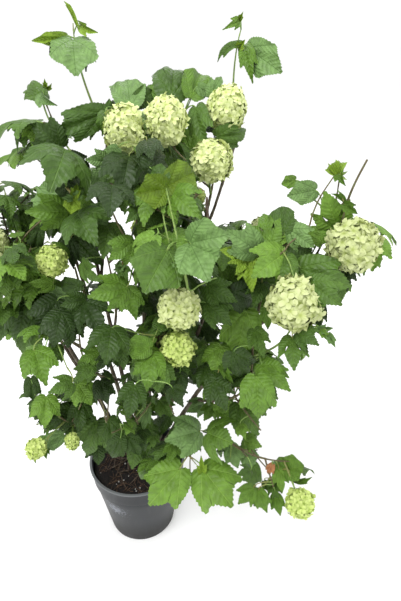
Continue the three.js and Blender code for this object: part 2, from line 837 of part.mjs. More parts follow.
function massSolid(mass) {
  for (const leaf of mass.leaves) {
    const child = { way: leaf.way, grow: (skin, ring) => growLeaf(skin, ring, leaf) };
    addChild(leaf.slot.shoot, leaf.slot.t, child);
  }
  const leafy = mass.sides.filter((s) => s.nodes.length > 0);
  for (const s of [...leafy, ...mass.blooms, ...mass.twigs])
    addChild(mass.leader, s.foot, { way: along(s, 0), grow: (skin, ring) => growShoot(skin, ring, s) });
  const skin = newSkin();
  const { leader } = mass;
  const foot = addRing(skin, leader.a, along(leader, 0), [1, 0, 0], radiusAt(leader, 0));
  skin.faces.push([...foot].reverse());
  growShoot(skin, foot, leader);
  return solidOf(skin);
}

// A closed tapering limb: rings of points square to its line, joined and capped.
function limbSolid(limb, grow = 0) {
  const length = span(limb);
  const steps = Math.max(3, Math.round(length / STEM.step));
  const flare = (t) => (limb.parent ? 1 : 1 + (STEM.flare - 1) * Math.exp((-t * length) / STEM.flareHeight));
  const skin = newSkin();
  const { sides } = STEM;
  for (let i = 0; i <= steps; i++) {
    const t = i / steps;
    const way = i === 0 && !limb.parent ? UP : along(limb, t);
    const u = squared([1, 0, 0], way);
    const v = cross(way, u);
    const r = radiusAt(limb, t) * flare(t) + grow;
    for (let k = 0; k < sides; k++) {
      const angle = (2 * Math.PI * k) / sides;
      addPoint(skin, add(at(limb, t), add(mul(u, r * Math.cos(angle)), mul(v, r * Math.sin(angle)))));
    }
  }
  for (let i = 0; i < steps; i++)
    for (let k = 0; k < sides; k++) {
      const [a, b] = [i * sides + k, i * sides + ((k + 1) % sides)];
      skin.faces.push([a, b, b + sides], [a, b + sides, a + sides]);
    }
  const end = steps * sides;
  for (let k = 1; k < sides - 1; k++) skin.faces.push([0, k + 1, k], [end, end + k, end + k + 1]);
  return solidOf(skin);
}

// The largest closed body of a solid that cutting has left in pieces.
const largest = (made) => made.decompose().reduce((a, b) => (b.volume() > a.volume() ? b : a));

// ---------- pot and compost ----------
function fromGeometry(geometry) {
  geometry.deleteAttribute("normal");
  geometry.deleteAttribute("uv");
  const merged = mergeVertices(geometry, 1e-4);
  const place = merged.attributes.position;
  const points = Array.from({ length: place.count }, (_, i) => [place.getX(i), place.getY(i), place.getZ(i)]);
  const corners = Array.from(merged.index.array);
  const faces = Array.from({ length: corners.length / 3 }, (_, f) => corners.slice(3 * f, 3 * f + 3));
  return solidOf({ points, faces: faces.filter(([a, b, c]) => a !== b && b !== c && c !== a) });
}

// A turned solid from a profile of radius and height, listed upwards along its outside.
function turned(profile, sides) {
  const points = profile.map(([r, z]) => new THREE.Vector2(r, z));
  return fromGeometry(new THREE.LatheGeometry(points, sides).rotateX(Math.PI / 2));
}

// The pot's inner radius at a height up to its shoulder, and in the band above.
function innerRadius(z) {
  const share = Math.min(1, z / POT.shoulderHeight);
  return POT.footRadius + (POT.bodyTopRadius - POT.footRadius) * share - POT.wall;
}

function potSolid() {
  const { height, footRadius, shoulderHeight, bodyTopRadius, bandRadius, rimRadius, floor, lip } = POT;
  const profile = [
    [0, 0],
    [footRadius - 2, 0],
    [footRadius, 3],
    [bodyTopRadius, shoulderHeight],
    [bandRadius, shoulderHeight + 2],
    [bandRadius + 1.5, height - lip],
    [rimRadius, height - lip + 1],
    [rimRadius, height - 1],
    [rimRadius - 1, height],
    [bandRadius - POT.wall + 1.5, height],
    [innerRadius(shoulderHeight), shoulderHeight],
    [innerRadius(floor), floor],
    [0, floor],
  ];
  let pot = turned(profile, POT.sides);
  for (let i = 0; i < POT.drainHoles; i++) {
    const angle = (2 * Math.PI * (i + 0.5)) / POT.drainHoles;
    const place = [POT.drainRing * Math.cos(angle), POT.drainRing * Math.sin(angle), 0];
    const hole = new THREE.CylinderGeometry(POT.drainRadius, POT.drainRadius, 4 * floor, 8);
    pot = pot.subtract(fromGeometry(hole.rotateX(Math.PI / 2).translate(...place)));
  }
  return pot;
}

function soilSolid() {
  const { top, edgeDrop, flatRadius, sides } = SOIL;
  const slack = GAP + innerRadius(top) * (1 - Math.cos(Math.PI / POT.sides));
  const profile = [
    [0, POT.floor + GAP],
    [innerRadius(POT.floor) - slack, POT.floor + GAP],
    [innerRadius(POT.shoulderHeight) - slack, POT.shoulderHeight],
    [innerRadius(POT.shoulderHeight) - slack, top - edgeDrop],
    [flatRadius, top],
    [0, top],
  ];
  return turned(profile, sides);
}

// ---------- assembly ----------
const look = (color, roughness) => new THREE.MeshStandardMaterial({ color, roughness, metalness: 0 });
const potPlastic = look(0x54585c, 0.45);
const compost = look(0x2a211c, 0.95);
const bark = look(0x5a4a3c, 0.85);
const foliage = look(0x3f6b2c, 0.55);

function meshOf(made, name, material) {
  const { vertProperties, triVerts } = made.getMesh();
  const geometry = new THREE.BufferGeometry();
  geometry.setAttribute("position", new THREE.BufferAttribute(vertProperties, 3));
  geometry.setIndex(new THREE.BufferAttribute(triVerts, 1));
  geometry.computeVertexNormals();
  const mesh = new THREE.Mesh(geometry, material);
  mesh.name = name;
  return mesh;
}

const plant = new THREE.Group();
plant.add(meshOf(potSolid(), "pot", potPlastic));
plant.add(meshOf(soilSolid(), "soil", compost));
for (const limb of Object.values(limbs)) {
  const made = limbSolid(limb);
  const cut = limb.parent ? largest(made.subtract(limbSolid(limbs[limb.parent], GAP))) : made;
  plant.add(meshOf(cut, limb.name, bark));
}
for (const mass of masses) plant.add(meshOf(massSolid(mass), mass.name, foliage));

export default plant;
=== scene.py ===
"""The looks of a snowball viburnum in its round nursery pot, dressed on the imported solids.

The shrub is grown again by the rule of its solids: stems from the compost, boughs from the stems, and on
each tip a mass of one leading shoot with side shoots, leaves in opposite pairs and round heads of
blossom. Here the rule goes on to finer twigs and more leaves, within the same reach. Lengths are in
millimetres until a mesh is made, +Z is up and -Y is the front.
"""

import math

import bpy
import numpy as np
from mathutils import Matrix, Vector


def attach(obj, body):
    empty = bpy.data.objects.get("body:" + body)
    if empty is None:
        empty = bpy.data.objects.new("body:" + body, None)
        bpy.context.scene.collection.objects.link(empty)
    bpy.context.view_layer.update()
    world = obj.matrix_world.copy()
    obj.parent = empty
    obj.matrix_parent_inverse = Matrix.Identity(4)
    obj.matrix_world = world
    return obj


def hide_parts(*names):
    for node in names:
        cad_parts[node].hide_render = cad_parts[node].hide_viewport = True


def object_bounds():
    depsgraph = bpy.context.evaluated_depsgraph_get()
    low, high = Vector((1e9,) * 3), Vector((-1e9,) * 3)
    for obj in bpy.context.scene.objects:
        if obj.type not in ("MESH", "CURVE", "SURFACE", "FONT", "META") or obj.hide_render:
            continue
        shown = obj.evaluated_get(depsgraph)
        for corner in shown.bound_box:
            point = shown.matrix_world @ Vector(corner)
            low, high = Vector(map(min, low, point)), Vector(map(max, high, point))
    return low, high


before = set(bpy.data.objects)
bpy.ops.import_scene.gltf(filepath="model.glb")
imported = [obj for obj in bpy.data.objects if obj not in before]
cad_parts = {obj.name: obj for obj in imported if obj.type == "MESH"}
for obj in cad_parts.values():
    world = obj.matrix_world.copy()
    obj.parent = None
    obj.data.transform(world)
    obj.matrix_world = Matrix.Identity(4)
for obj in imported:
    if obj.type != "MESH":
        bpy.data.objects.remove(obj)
cad_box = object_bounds()
METRE = 1000.0  # millimetres in a metre

# ---------- driving sizes ----------
GAP = 0.3
POT = {
    "height": 215,
    "foot": 82,
    "shoulder": 172,
    "body_top": 107,
    "band": 110,
    "rim": 115,
    "wall": 2.2,
    "lip": 4.5,
    "drain_ring": 60,
    "drain": 6,
}
SOIL = {"top": 196, "edge_drop": 5, "flat": 52}
SHOOT = {"internode": 54, "side_internode": 42, "side": 1.9, "tip": 1.1, "band": 2.2, "apart": 7}
LEAF = {"stalk": 26, "tries": 18, "border": 3, "clear": 3, "gap": 0.2, "to_front": 0.45}
LIMB_RELIEF = 0.5  # how far the bark's ridges stand out

# ---------- stems and boughs ----------
# Each limb: its parent, its foot on the compost or the share of its parent's length where it leaves it,
# its tip, its radius at each end, and how far its middle rises above the straight line, as a share of its
# length.
LIMBS = {
    "stem_left": (None, (-14, 0), (-104, -72, 620), (5.6, 3.4), 0.03),
    "stem_left_inner": (None, (2, 12), (-36, -34, 790), (5, 3), 0.04),
    "stem_centre": (None, (16, -6), (62, -58, 840), (5.4, 3), 0.04),
    "stem_centre_right": (None, (32, 14), (158, 8, 800), (5.4, 3), 0.08),
    "stem_right": (None, (40, -4), (232, -110, 648), (5.6, 3.2), 0.1),
    "stem_low_right": (None, (28, -24), (196, -150, 440), (4.4, 2.8), 0.14),
    "stem_back": (None, (18, 36), (66, 122, 760), (5.4, 3), 0.06),
    "stem_back_left": (None, (-8, 32), (-112, 104, 700), (5.2, 3), 0.08),
    "stem_back_right": (None, (40, 34), (216, 112, 690), (5.2, 3), 0.1),
    "bough_left_edge": ("stem_left", 0.62, (-158, -34, 690), (3, 2.6), -0.1),
    "bough_tall_left": ("stem_left_inner", 0.84, (2, 4, 955), (2.8, 2.4), -0.06),
    "bough_top_centre": ("stem_centre", 0.82, (104, 14, 900), (2.8, 2.4), -0.08),
    "bough_tall_right": ("stem_centre_right", 0.86, (212, 54, 930), (2.8, 2.4), -0.06),
    "bough_centre_front": ("stem_centre", 0.56, (104, -118, 735), (2.9, 2.4), -0.08),
    "bough_front_low": ("stem_centre", 0.36, (74, -128, 565), (2.9, 2.4), -0.1),
    "bough_mid_left": ("stem_left_inner", 0.42, (-44, -104, 556), (2.9, 2.4), -0.1),
    "bough_inner_left": ("stem_left_inner", 0.62, (2, -78, 664), (2.8, 2.4), -0.08),
    "bough_far_right": ("stem_right", 0.78, (322, -84, 742), (3, 2.4), -0.1),
    "bough_right_low": ("stem_right", 0.5, (204, -136, 520), (2.9, 2.4), -0.08),
    "bough_lower_left": ("stem_left", 0.26, (-98, -88, 400), (2.8, 2.4), -0.08),
    "bough_lower_centre": ("stem_centre", 0.18, (28, -86, 396), (2.8, 2.4), -0.08),
    "bough_foot": ("stem_low_right", 0.36, (92, -106, 348), (2.6, 2.3), -0.06),
    "bough_back_low": ("stem_back", 0.36, (34, 152, 480), (2.8, 2.4), -0.1),
    "bough_back_left_low": ("stem_back_left", 0.46, (-128, 44, 520), (2.8, 2.4), -0.1),
    "bough_back_right_low": ("stem_back_right", 0.46, (206, 64, 470), (2.8, 2.4), -0.1),
}

# ---------- masses of foliage ----------
# Each mass: the limb it grows from, its leader's tip, the length of its side shoots, the length of a grown
# blade, and the share of the leader that is bare. Then, where it has them, the sizes of its last pairs of
# leaves, how far apart its leaves stand, the place its leader bends towards, and its heads of blossom: each
# head's place, its diameter and, if it isn't round, its height as a share of that.
MASSES = {
    "tall_left_shoot": ("bough_tall_left", (-46, 66, 1112), 0, 84, 0.9, {"bend": (-44, 30, 1046)}),
    "tall_right_shoot": ("bough_tall_right", (218, 84, 1104), 0, 82, 0.9, {"bend": (200, 66, 1050)}),
    "upper_left": ("stem_left_inner", (-88, -4, 1012), 92, 92, 0.05, {"top": (0.55, 0.36)}),
    "upper_bloom": ("stem_centre", (-6, 40, 1000), 80, 84, 0.05, {"blooms": ((39, -50, 973, 62, 1.26),)}),
    "top_centre": (
        "bough_top_centre",
        (98, 34, 1026),
        92,
        88,
        0,
        {"top": (0.9, 0.75), "blooms": ((102, -42, 985, 61, 1.2),)},
    ),
    "upper_right": (
        "stem_centre_right",
        (186, 22, 956),
        80,
        80,
        0.05,
        {"blooms": ((194, -5, 997, 62, 1.16), (172, -42, 926, 65, 1.02), (150, 44, 843, 24, 1.4))},
    ),
    "left_front": ("stem_left", (-126, -112, 838), 88, 86, 0.05, {"blooms": ((-75, -132, 796, 47, 1.08),)}),
    "left_edge": ("bough_left_edge", (-184, -20, 884), 82, 88, 0.05, {"blooms": ((-196, -72, 800, 62),)}),
    "centre_front": ("bough_centre_front", (106, -150, 926), 92, 94, 0, {"top": (0.7, 0.4)}),
    "mid_left": ("bough_mid_left", (-34, -152, 740), 84, 62, 0, {"gap": 0.18}),
    "inner_left": ("bough_inner_left", (2, -122, 846), 82, 84, 0, {}),
    "front_low": (
        "bough_front_low",
        (84, -198, 704),
        100,
        62,
        0,
        {"blooms": ((121, -186, 744, 64), (118, -200, 681, 53))},
    ),
    "right": ("stem_right", (222, -138, 846), 100, 90, 0, {"top": (0.9,)}),
    "far_right": (
        "bough_far_right",
        (350, -120, 922),
        80,
        84,
        0.05,
        {"top": (0.55, 0.36), "blooms": ((369, -170, 838, 76),)},
    ),
    "right_low": (
        "bough_right_low",
        (232, -206, 690),
        104,
        62,
        0,
        {"top": (0.9,), "blooms": ((282, -229, 778, 77),)},
    ),
    "low_right": (
        "stem_low_right",
        (318, -206, 436),
        58,
        62,
        0.15,
        {"bend": (245, -191, 415), "blooms": ((327, -256, 388, 50),)},
    ),
    "foot_front": ("bough_foot", (132, -166, 402), 44, 60, 0, {}),
    "lower_left": (
        "bough_lower_left",
        (-164, -104, 500),
        72,
        58,
        0,
        {"blooms": ((-95, -144, 418, 27, 1.45), (-158, -164, 421, 38))},
    ),
    "lower_centre": ("bough_lower_centre", (30, -146, 500), 76, 58, 0, {"gap": 0.17}),
    "back_top": (
        "stem_back",
        (56, 140, 984),
        72,
        88,
        0.05,
        {"gap": 0.3, "blooms": ((22, 190, 940, 66), (112, 194, 872, 60))},
    ),
    "back_left": (
        "stem_back_left",
        (-132, 116, 924),
        72,
        88,
        0.05,
        {"gap": 0.3, "blooms": ((-160, 154, 772, 62),)},
    ),
    "back_right": (
        "stem_back_right",
        (251, 101, 771),
        70,
        86,
        0.05,
        {"gap": 0.3, "blooms": ((292, 186, 722, 62), (340, 116, 716, 60))},
    ),
    "back_low": (
        "bough_back_low",
        (56, 214, 650),
        68,
        88,
        0,
        {"gap": 0.3, "blooms": ((20, 238, 706, 56),)},
    ),
    "back_left_low": ("bough_back_left_low", (-186, 66, 660), 70, 88, 0, {"gap": 0.3}),
    "back_right_low": (
        "bough_back_right_low",
        (276, 58, 600),
        68,
        88,
        0,
        {"gap": 0.3, "blooms": ((306, 36, 660, 50),)},
    ),
}

# ---------- camera, floor and light ----------
CAMERA = {"place": (153, -760, 1092), "down": 30.2, "lens": 27.0}


def set_stage():
    """A wide pale floor, an even pale sky, and three large soft lamps: the strong one above the front left,
    and weak ones on the right and at the back."""
    camera = bpy.data.objects.new("camera", bpy.data.cameras.new("camera"))
    bpy.context.collection.objects.link(camera)
    camera.location = [c / METRE for c in CAMERA["place"]]
    camera.rotation_euler = (math.radians(90 - CAMERA["down"]), 0, 0)
    camera.data.lens = CAMERA["lens"]
    camera.data.clip_start = 0.01
    bpy.context.scene.camera = camera
    floor = bpy.data.meshes.new("floor")
    floor.from_pydata([(-90, -90, 0), (90, -90, 0), (90, 90, 0), (-90, 90, 0)], [], [(0, 1, 2, 3)])
    ground = bpy.data.objects.new("floor", floor)
    bpy.context.collection.objects.link(ground)
    pale = bpy.data.materials.new("pale_floor")
    pale.use_nodes = True
    pale.node_tree.nodes["Principled BSDF"].inputs["Base Color"].default_value = (0.965, 0.965, 0.965, 1)
    pale.node_tree.nodes["Principled BSDF"].inputs["Roughness"].default_value = 0.9
    floor.materials.append(pale)
    world = bpy.data.worlds.new("pale_sky")
    world.use_nodes = True
    world.node_tree.nodes["Background"].inputs["Color"].default_value = (1.0, 1.0, 1.0, 1)
    world.node_tree.nodes["Background"].inputs["Strength"].default_value = 1.05
    bpy.context.scene.world = world
    for name, place, size, power in (
        ("key_lamp", (-0.9, -1.3, 3.1), 1.5, 62),
        ("right_lamp", (2.2, -0.9, 1.9), 1.4, 12),
        ("back_lamp", (0.3, 2.1, 2.4), 1.8, 16),
    ):
        lamp = bpy.data.objects.new(name, bpy.data.lights.new(name, "AREA"))
        lamp.data.size = size
        lamp.data.energy = power
        lamp.location = place
        aim = np.array([0.08, -0.05, 0.7]) - place
        lamp.rotation_euler = (
            math.atan2(math.hypot(aim[0], aim[1]), -aim[2]),
            0,
            math.atan2(aim[1], aim[0]) - math.pi / 2,
        )
        bpy.context.collection.objects.link(lamp)
    bpy.context.scene.view_settings.view_transform = "Standard"


# ---------- shader maths ----------
class Value:
    """An output of a material's node. Its operators add Math nodes."""

    def __init__(self, paint, socket):
        self.paint = paint
        self.socket = socket

    def math(self, operation, *values):
        return self.paint.node("ShaderNodeMath", {"operation": operation}, values)

    def __add__(self, other):
        return self.math("ADD", self, other)

    def __sub__(self, other):
        return self.math("SUBTRACT", self, other)

    def __mul__(self, other):
        return self.math("MULTIPLY", self, other)

    def __truediv__(self, other):
        return self.math("DIVIDE", self, other)

    def __rsub__(self, other):
        return self.math("SUBTRACT", other, self)

    def __rtruediv__(self, other):
        return self.math("DIVIDE", other, self)

    def __pow__(self, other):
        return self.math("POWER", self, other)

    def __abs__(self):
        return self.math("ABSOLUTE", self)

    __radd__ = __add__
    __rmul__ = __mul__

    def share(self):
        """The part after the whole number."""
        return self.math("FRACT", self)

    def least(self, other):
        return self.math("MINIMUM", self, other)

    def most(self, other):
        return self.math("MAXIMUM", self, other)

    def rise(self, low, high):
        """A smooth step from 0 at low to 1 at high."""
        values = {"Value": self, "From Min": low, "From Max": high}
        return self.paint.node("ShaderNodeMapRange", {"interpolation_type": "SMOOTHSTEP"}, values)


def linear(colour):
    """A colour of 0 to 255 as seen, made linear: ((c + 0.055) / 1.055) to the 2.4."""
    c = np.array(colour[:3], float) / 255
    return (*np.where(c < 0.04045, c / 12.92, ((c + 0.055) / 1.055) ** 2.4), 1.0)


class Paint:
    """A material of one Principled shader and the nodes that feed it."""

    def __init__(self, name, **constants):
        self.material = bpy.data.materials.new(name)
        self.material.use_nodes = True
        self.tree = self.material.node_tree
        self.shader = self.tree.nodes["Principled BSDF"]
        for socket, value in constants.items():
            self.shader.inputs[socket.replace("_", " ")].default_value = value

    def node(self, kind, settings=None, values=(), out=0):
        """Adds a node: its settings first, then the value or link of each socket, by order or by name."""
        made = self.tree.nodes.new(kind)
        for key, value in (settings or {}).items():
            setattr(made, key, value)
        pairs = values.items() if isinstance(values, dict) else enumerate(values)
        for key, value in pairs:
            if isinstance(value, Value):
                self.tree.links.new(value.socket, made.inputs[key])
            else:
                made.inputs[key].default_value = value
        return Value(self, made.outputs[out])

    def place(self):
        """A point of the piece, in metres."""
        return self.node("ShaderNodeTexCoord", out="Object")

    def parts(self, vector):
        """The three numbers of a vector."""
        split = self.node("ShaderNodeSeparateXYZ", values=(vector,))
        return [Value(self, out) for out in split.socket.node.outputs]

    def chart(self, name):
        """The two numbers of the piece's own map."""
        return self.parts(self.node("ShaderNodeUVMap", {"uv_map": name}))[:2]

    def joined(self, x, y, z):
        return self.node("ShaderNodeCombineXYZ", values=(x, y, z))

    def noise(self, place, size, detail=2.0, rough=0.5):
        """Cloudy noise about 0.5, with clouds about size millimetres across on a place in metres."""
        values = {"Vector": place, "Scale": METRE / size, "Detail": detail, "Roughness": rough}
        return self.node("ShaderNodeTexNoise", values=values)

    def cells(self, place, size):
        """The distance from the middle of the nearest of many cells of about size millimetres."""
        return self.node("ShaderNodeTexVoronoi", values={"Vector": place, "Scale": METRE / size})

    def mix(self, share, one, other):
        """The first colour where share is 0 and the other where it is 1."""
        values = {0: share, 6: one, 7: other}
        return self.node("ShaderNodeMix", {"data_type": "RGBA"}, values, out=2)

    def stretched(self, place, x, y, z):
        values = (place, (x, y, z))
        return self.node("ShaderNodeVectorMath", {"operation": "MULTIPLY"}, values)

    def feed(self, name, value):
        self.tree.links.new(value.socket, self.shader.inputs[name])

    def bump(self, height, distance, strength=1.0):
        """Tilts the surface by a height from 0 to 1 that stands for distance millimetres."""
        values = {"Strength": strength, "Distance": distance / METRE, "Height": height}
        self.feed("Normal", self.node("ShaderNodeBump", values=values))


# ---------- meshes ----------
class Heap:
    """Points, faces and chart places of many like things, to be joined into one piece."""

    def __init__(self):
        self.points = []
        self.charts = []
        self.faces = []
        self.count = 0

    def put(self, points, faces, charts=None):
        """Adds one thing: (V, 3) points, a list of arrays of faces, and (V, 2) chart places."""
        self.points.append(points)
        self.charts.append(np.zeros((len(points), 2)) if charts is None else charts)
        self.faces += [block + self.count for block in faces]
        self.count += len(points)

    def put_many(self, points, faces, charts):
        """Adds (N, V, 3) points of N things that share their faces and chart."""
        number, each = points.shape[:2]
        shift = (np.arange(number) * each)[:, None, None]
        blocks = [(block[None] + shift).reshape(-1, block.shape[1]) for block in faces]
        self.put(points.reshape(-1, 3), blocks, np.tile(charts, (number, 1)))

    def piece(self, name, paint, chart="OFBake"):
        """Makes the mesh object, smooth, with its place in its mesh."""
        points = np.concatenate(self.points) / METRE
        corners = np.concatenate([block.ravel() for block in self.faces]).astype(np.int32)
        sizes = np.concatenate([np.full(len(block), block.shape[1]) for block in self.faces])
        mesh = bpy.data.meshes.new(name)
        mesh.vertices.add(len(points))
        mesh.vertices.foreach_set("co", points.astype(np.float32).ravel())
        mesh.loops.add(len(corners))
        mesh.loops.foreach_set("vertex_index", corners)
        mesh.polygons.add(len(sizes))
        mesh.polygons.foreach_set("loop_start", (np.cumsum(sizes) - sizes).astype(np.int32))
        mesh.update(calc_edges=True)
        mesh.validate()
        mesh.polygons.foreach_set("use_smooth", np.ones(len(mesh.polygons), bool))
        charts = np.concatenate(self.charts)
        layer = mesh.uv_layers.new(name=chart)
        layer.data.foreach_set("uv", charts[corners].astype(np.float32).ravel())
        mesh.materials.append(paint.material)
        made = bpy.data.objects.new(name, mesh)
        bpy.context.collection.objects.link(made)
        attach(made, "root")
        return made


def grid_faces(rows, columns, closed=True):
    """Four-cornered faces of a grid of points, row after row, closed round its columns or open."""
    i, k = np.meshgrid(np.arange(rows - 1), np.arange(columns if closed else columns - 1), indexing="ij")
    n = (k + 1) % columns
    corners = (i * columns + k, i * columns + n, (i + 1) * columns + n, (i + 1) * columns + k)
    return np.stack(corners, -1).reshape(-1, 4)


def unit(a):
    return a / np.linalg.norm(a, axis=-1, keepdims=True)


def squared(a, way):
    """The part of a that is square to way, made one long."""
    return unit(a - way * np.sum(a * way, -1, keepdims=True))


def tubes(paths, radii, sides):
    """Round tubes, N at once: on each of the M points of a path a ring, centre + radius (cos k u + sin k
    v).

    Gives (N, M * sides, 3) points, the faces of one with both ends capped, and its chart: once round, and
    along it."""
    paths = np.asarray(paths, float)
    ways = unit(np.gradient(paths, axis=1))
    chord = unit(paths[:, -1] - paths[:, 0])
    guide = np.where(np.abs(chord[:, :1]) < 0.8, [1.0, 0, 0], [0, 1.0, 0])[:, None]
    u = squared(np.broadcast_to(guide, ways.shape), ways)
    v = np.cross(ways, u)
    turn = 2 * np.pi * np.arange(sides) / sides
    spokes = np.cos(turn)[:, None] * u[:, :, None] + np.sin(turn)[:, None] * v[:, :, None]
    radii = np.asarray(radii, float)
    if radii.ndim == 2:
        radii = np.repeat(radii[..., None], sides, 2)
    points = paths[:, :, None] + radii[..., None] * spokes
    number, steps = paths.shape[:2]
    last = (steps - 1) * sides
    caps = np.stack([np.arange(sides)[::-1], last + np.arange(sides)])
    row, column = np.meshgrid(np.arange(steps) / (steps - 1), np.arange(sides) / sides, indexing="ij")
    charts = np.stack([column, row], -1).reshape(-1, 2)
    return points.reshape(number, -1, 3), [grid_faces(steps, sides), caps], charts


# ---------- the growing rule ----------
UP = np.array([0.0, 0.0, 1.0])


def dice(seed):
    """Park and Miller's rule, a run of numbers from 0 to 1: each state is the last times 16807."""
    state = seed * 7919 % 2147483647

    def roll():
        nonlocal state
        state = state * 16807 % 2147483647
        return state / 2147483647

    for _ in range(4):
        roll()
    return roll


class Shoot:
    """A quadratic curve from a to b drawn towards c, with its radius at each end."""

    def __init__(self, a, c, b, thick, **more):
        self.a, self.c, self.b = (np.array(p, float) for p in (a, c, b))
        self.thick = thick
        self.taken = []
        self.length = float(np.linalg.norm(self.b - self.a))
        self.foot = more.get("foot")
        self.centre = more.get("centre")
        self.size = more.get("size")
        self.tall = more.get("tall", 1)

    def at(self, t):
        t = np.asarray(t, float)[..., None]
        return self.a * (1 - t) ** 2 + self.c * 2 * t * (1 - t) + self.b * t * t

    def way(self, t):
        t = np.asarray(t, float)[..., None]
        return unit((self.c - self.a) * (1 - t) + (self.b - self.c) * t)

    def frame(self, t):
        """Two directions square to the curve's own."""
        way = self.way(t)
        side = np.array([1.0, 0, 0]) if abs(way[2]) > 0.98 else unit(np.cross(way, UP))
        u = squared(side, way)
        return u, np.cross(way, u)

    def take(self, wanted):
        """The share of the length nearest to the one wanted that no other node has taken."""
        apart = SHOOT["apart"] / self.length
        end = 1 - SHOOT["band"] / self.length
        start = t = min(end, wanted)

        def free(t):
            return apart <= t <= end and all(abs(other - t) >= apart for other in self.taken)

        for i in range(1, 60):
            if free(t):
                break
            shift = math.ceil(i / 2) * apart * 0.25
            t = start - shift if i % 2 else start + shift
        self.taken.append(t)
        return t


class Space:
    """Straight rods that stand for limbs and shoots, each with the mass that owns it, or -1 for a limb."""

    def __init__(self):
        self.p, self.q, self.r, self.owner = [], [], [], []
        self.balls = []
        self.shown = []

    def add(self, shoot, pieces, radius, owner):
        marks = shoot.at(np.arange(pieces + 1) / pieces)
        self.p += list(marks[:-1])
        self.q += list(marks[1:])
        self.r += [radius] * pieces
        self.owner += [owner] * pieces

    def add_ball(self, centre, radius, owner):
        self.p.append(centre)
        self.q.append(centre)
        self.r.append(radius)
        self.owner.append(owner)
        self.balls.append((*centre, radius))

    def close(self):
        self.rods = [np.array(x, float) for x in (self.p, self.q, self.r)]
        self.owners = np.array(self.owner)
        self.heads = np.array(self.balls)

    def distances(self, points):
        p, q, r = self.rods
        pq = q - p
        size = np.maximum(np.sum(pq * pq, -1), 1e-9)
        to = points[:, None] - p
        t = np.clip(np.sum(to * pq, -1) / size, 0, 1)
        return np.linalg.norm(to - pq * t[..., None], axis=-1) - r

    def free(self, points, owner):
        """True for points nearer to their own mass than to any other, clear of the limbs and the pot."""
        points = np.atleast_2d(points)
        if in_pot(points).any():
            return False
        far = self.distances(points)
        limbs, own = self.owners == -1, self.owners == owner
        if far[:, limbs].min() < LEAF["clear"]:
            return False
        least = np.maximum(far[:, own].min(1) + LEAF["border"], LEAF["clear"])
        return bool((far[:, ~own & ~limbs] > least[:, None]).all())

    def off_heads(self, points, clear=2.0):
        to = np.linalg.norm(points[:, None] - self.heads[:, :3], axis=-1)
        return bool((to > self.heads[:, 3] + clear).all())

    def hides_head(self, points):
        """True if one of the points stands before one of the front's heads, as the eye sees it."""
        shown = np.array(self.shown)
        to, head = points - EYE, shown[:, :3] - EYE
        far, head_far = np.linalg.norm(to, axis=-1), np.linalg.norm(head, axis=-1)
        cosine = to @ head.T / (far[:, None] * head_far)
        off = np.sqrt(np.maximum(0, 1 - cosine**2)) * head_far
        return bool(((off < shown[:, 3]) & (far[:, None] < head_far)).any())


def in_pot(points):
    """True in the ground, in the compost or close to the pot's side."""
    radius = np.hypot(points[:, 0], points[:, 1])
    z = points[:, 2]
    side = POT["foot"] + (POT["rim"] - POT["foot"]) * np.maximum(0, z) / POT["height"]
    near_side = (z < POT["height"] + 5) & (radius < side + 6) & (radius > side - 14)
    return (z < 6) | near_side | ((z < SOIL["top"] + 6) & (radius < side))


def grow_limbs():
    limbs = {}
    for name, (parent, start, tip, thick, bow) in LIMBS.items():
        a = limbs[parent].at(start) if parent else np.array([*start, SOIL["top"] + GAP])
        tip = np.array(tip, float)
        c = (a + tip) / 2 + UP * bow * np.linalg.norm(tip - a)
        limbs[name] = Shoot(a, c, tip, thick)
    return limbs


def foot_of(leader, place):
    """The share of the leader's length that is nearest to a place."""
    shares = 0.1 + np.arange(17) * 0.05
    return float(shares[np.argmin(np.linalg.norm(leader.at(shares) - place, axis=-1))])


def bloom_shoot(leader, bloom):
    """A shoot that leaves the leader below a head of blossom and ends in it."""
    centre, size = np.array(bloom[:3], float), bloom[3]
    foot = leader.take(foot_of(leader, centre - UP * size * 0.95))
    a = leader.at(foot)
    far = np.linalg.norm(centre - a)
    out = squared(centre - a, leader.way(foot))
    c = a + unit(out + leader.way(foot) * 0.4) * far * 0.5
    b = centre - unit(centre - c) * size * 0.3
    tall = bloom[4] if len(bloom) > 4 else 1
    return Shoot(a, c, b, (SHOOT["side"], SHOOT["tip"]), foot=foot, centre=centre, size=size, tall=tall)


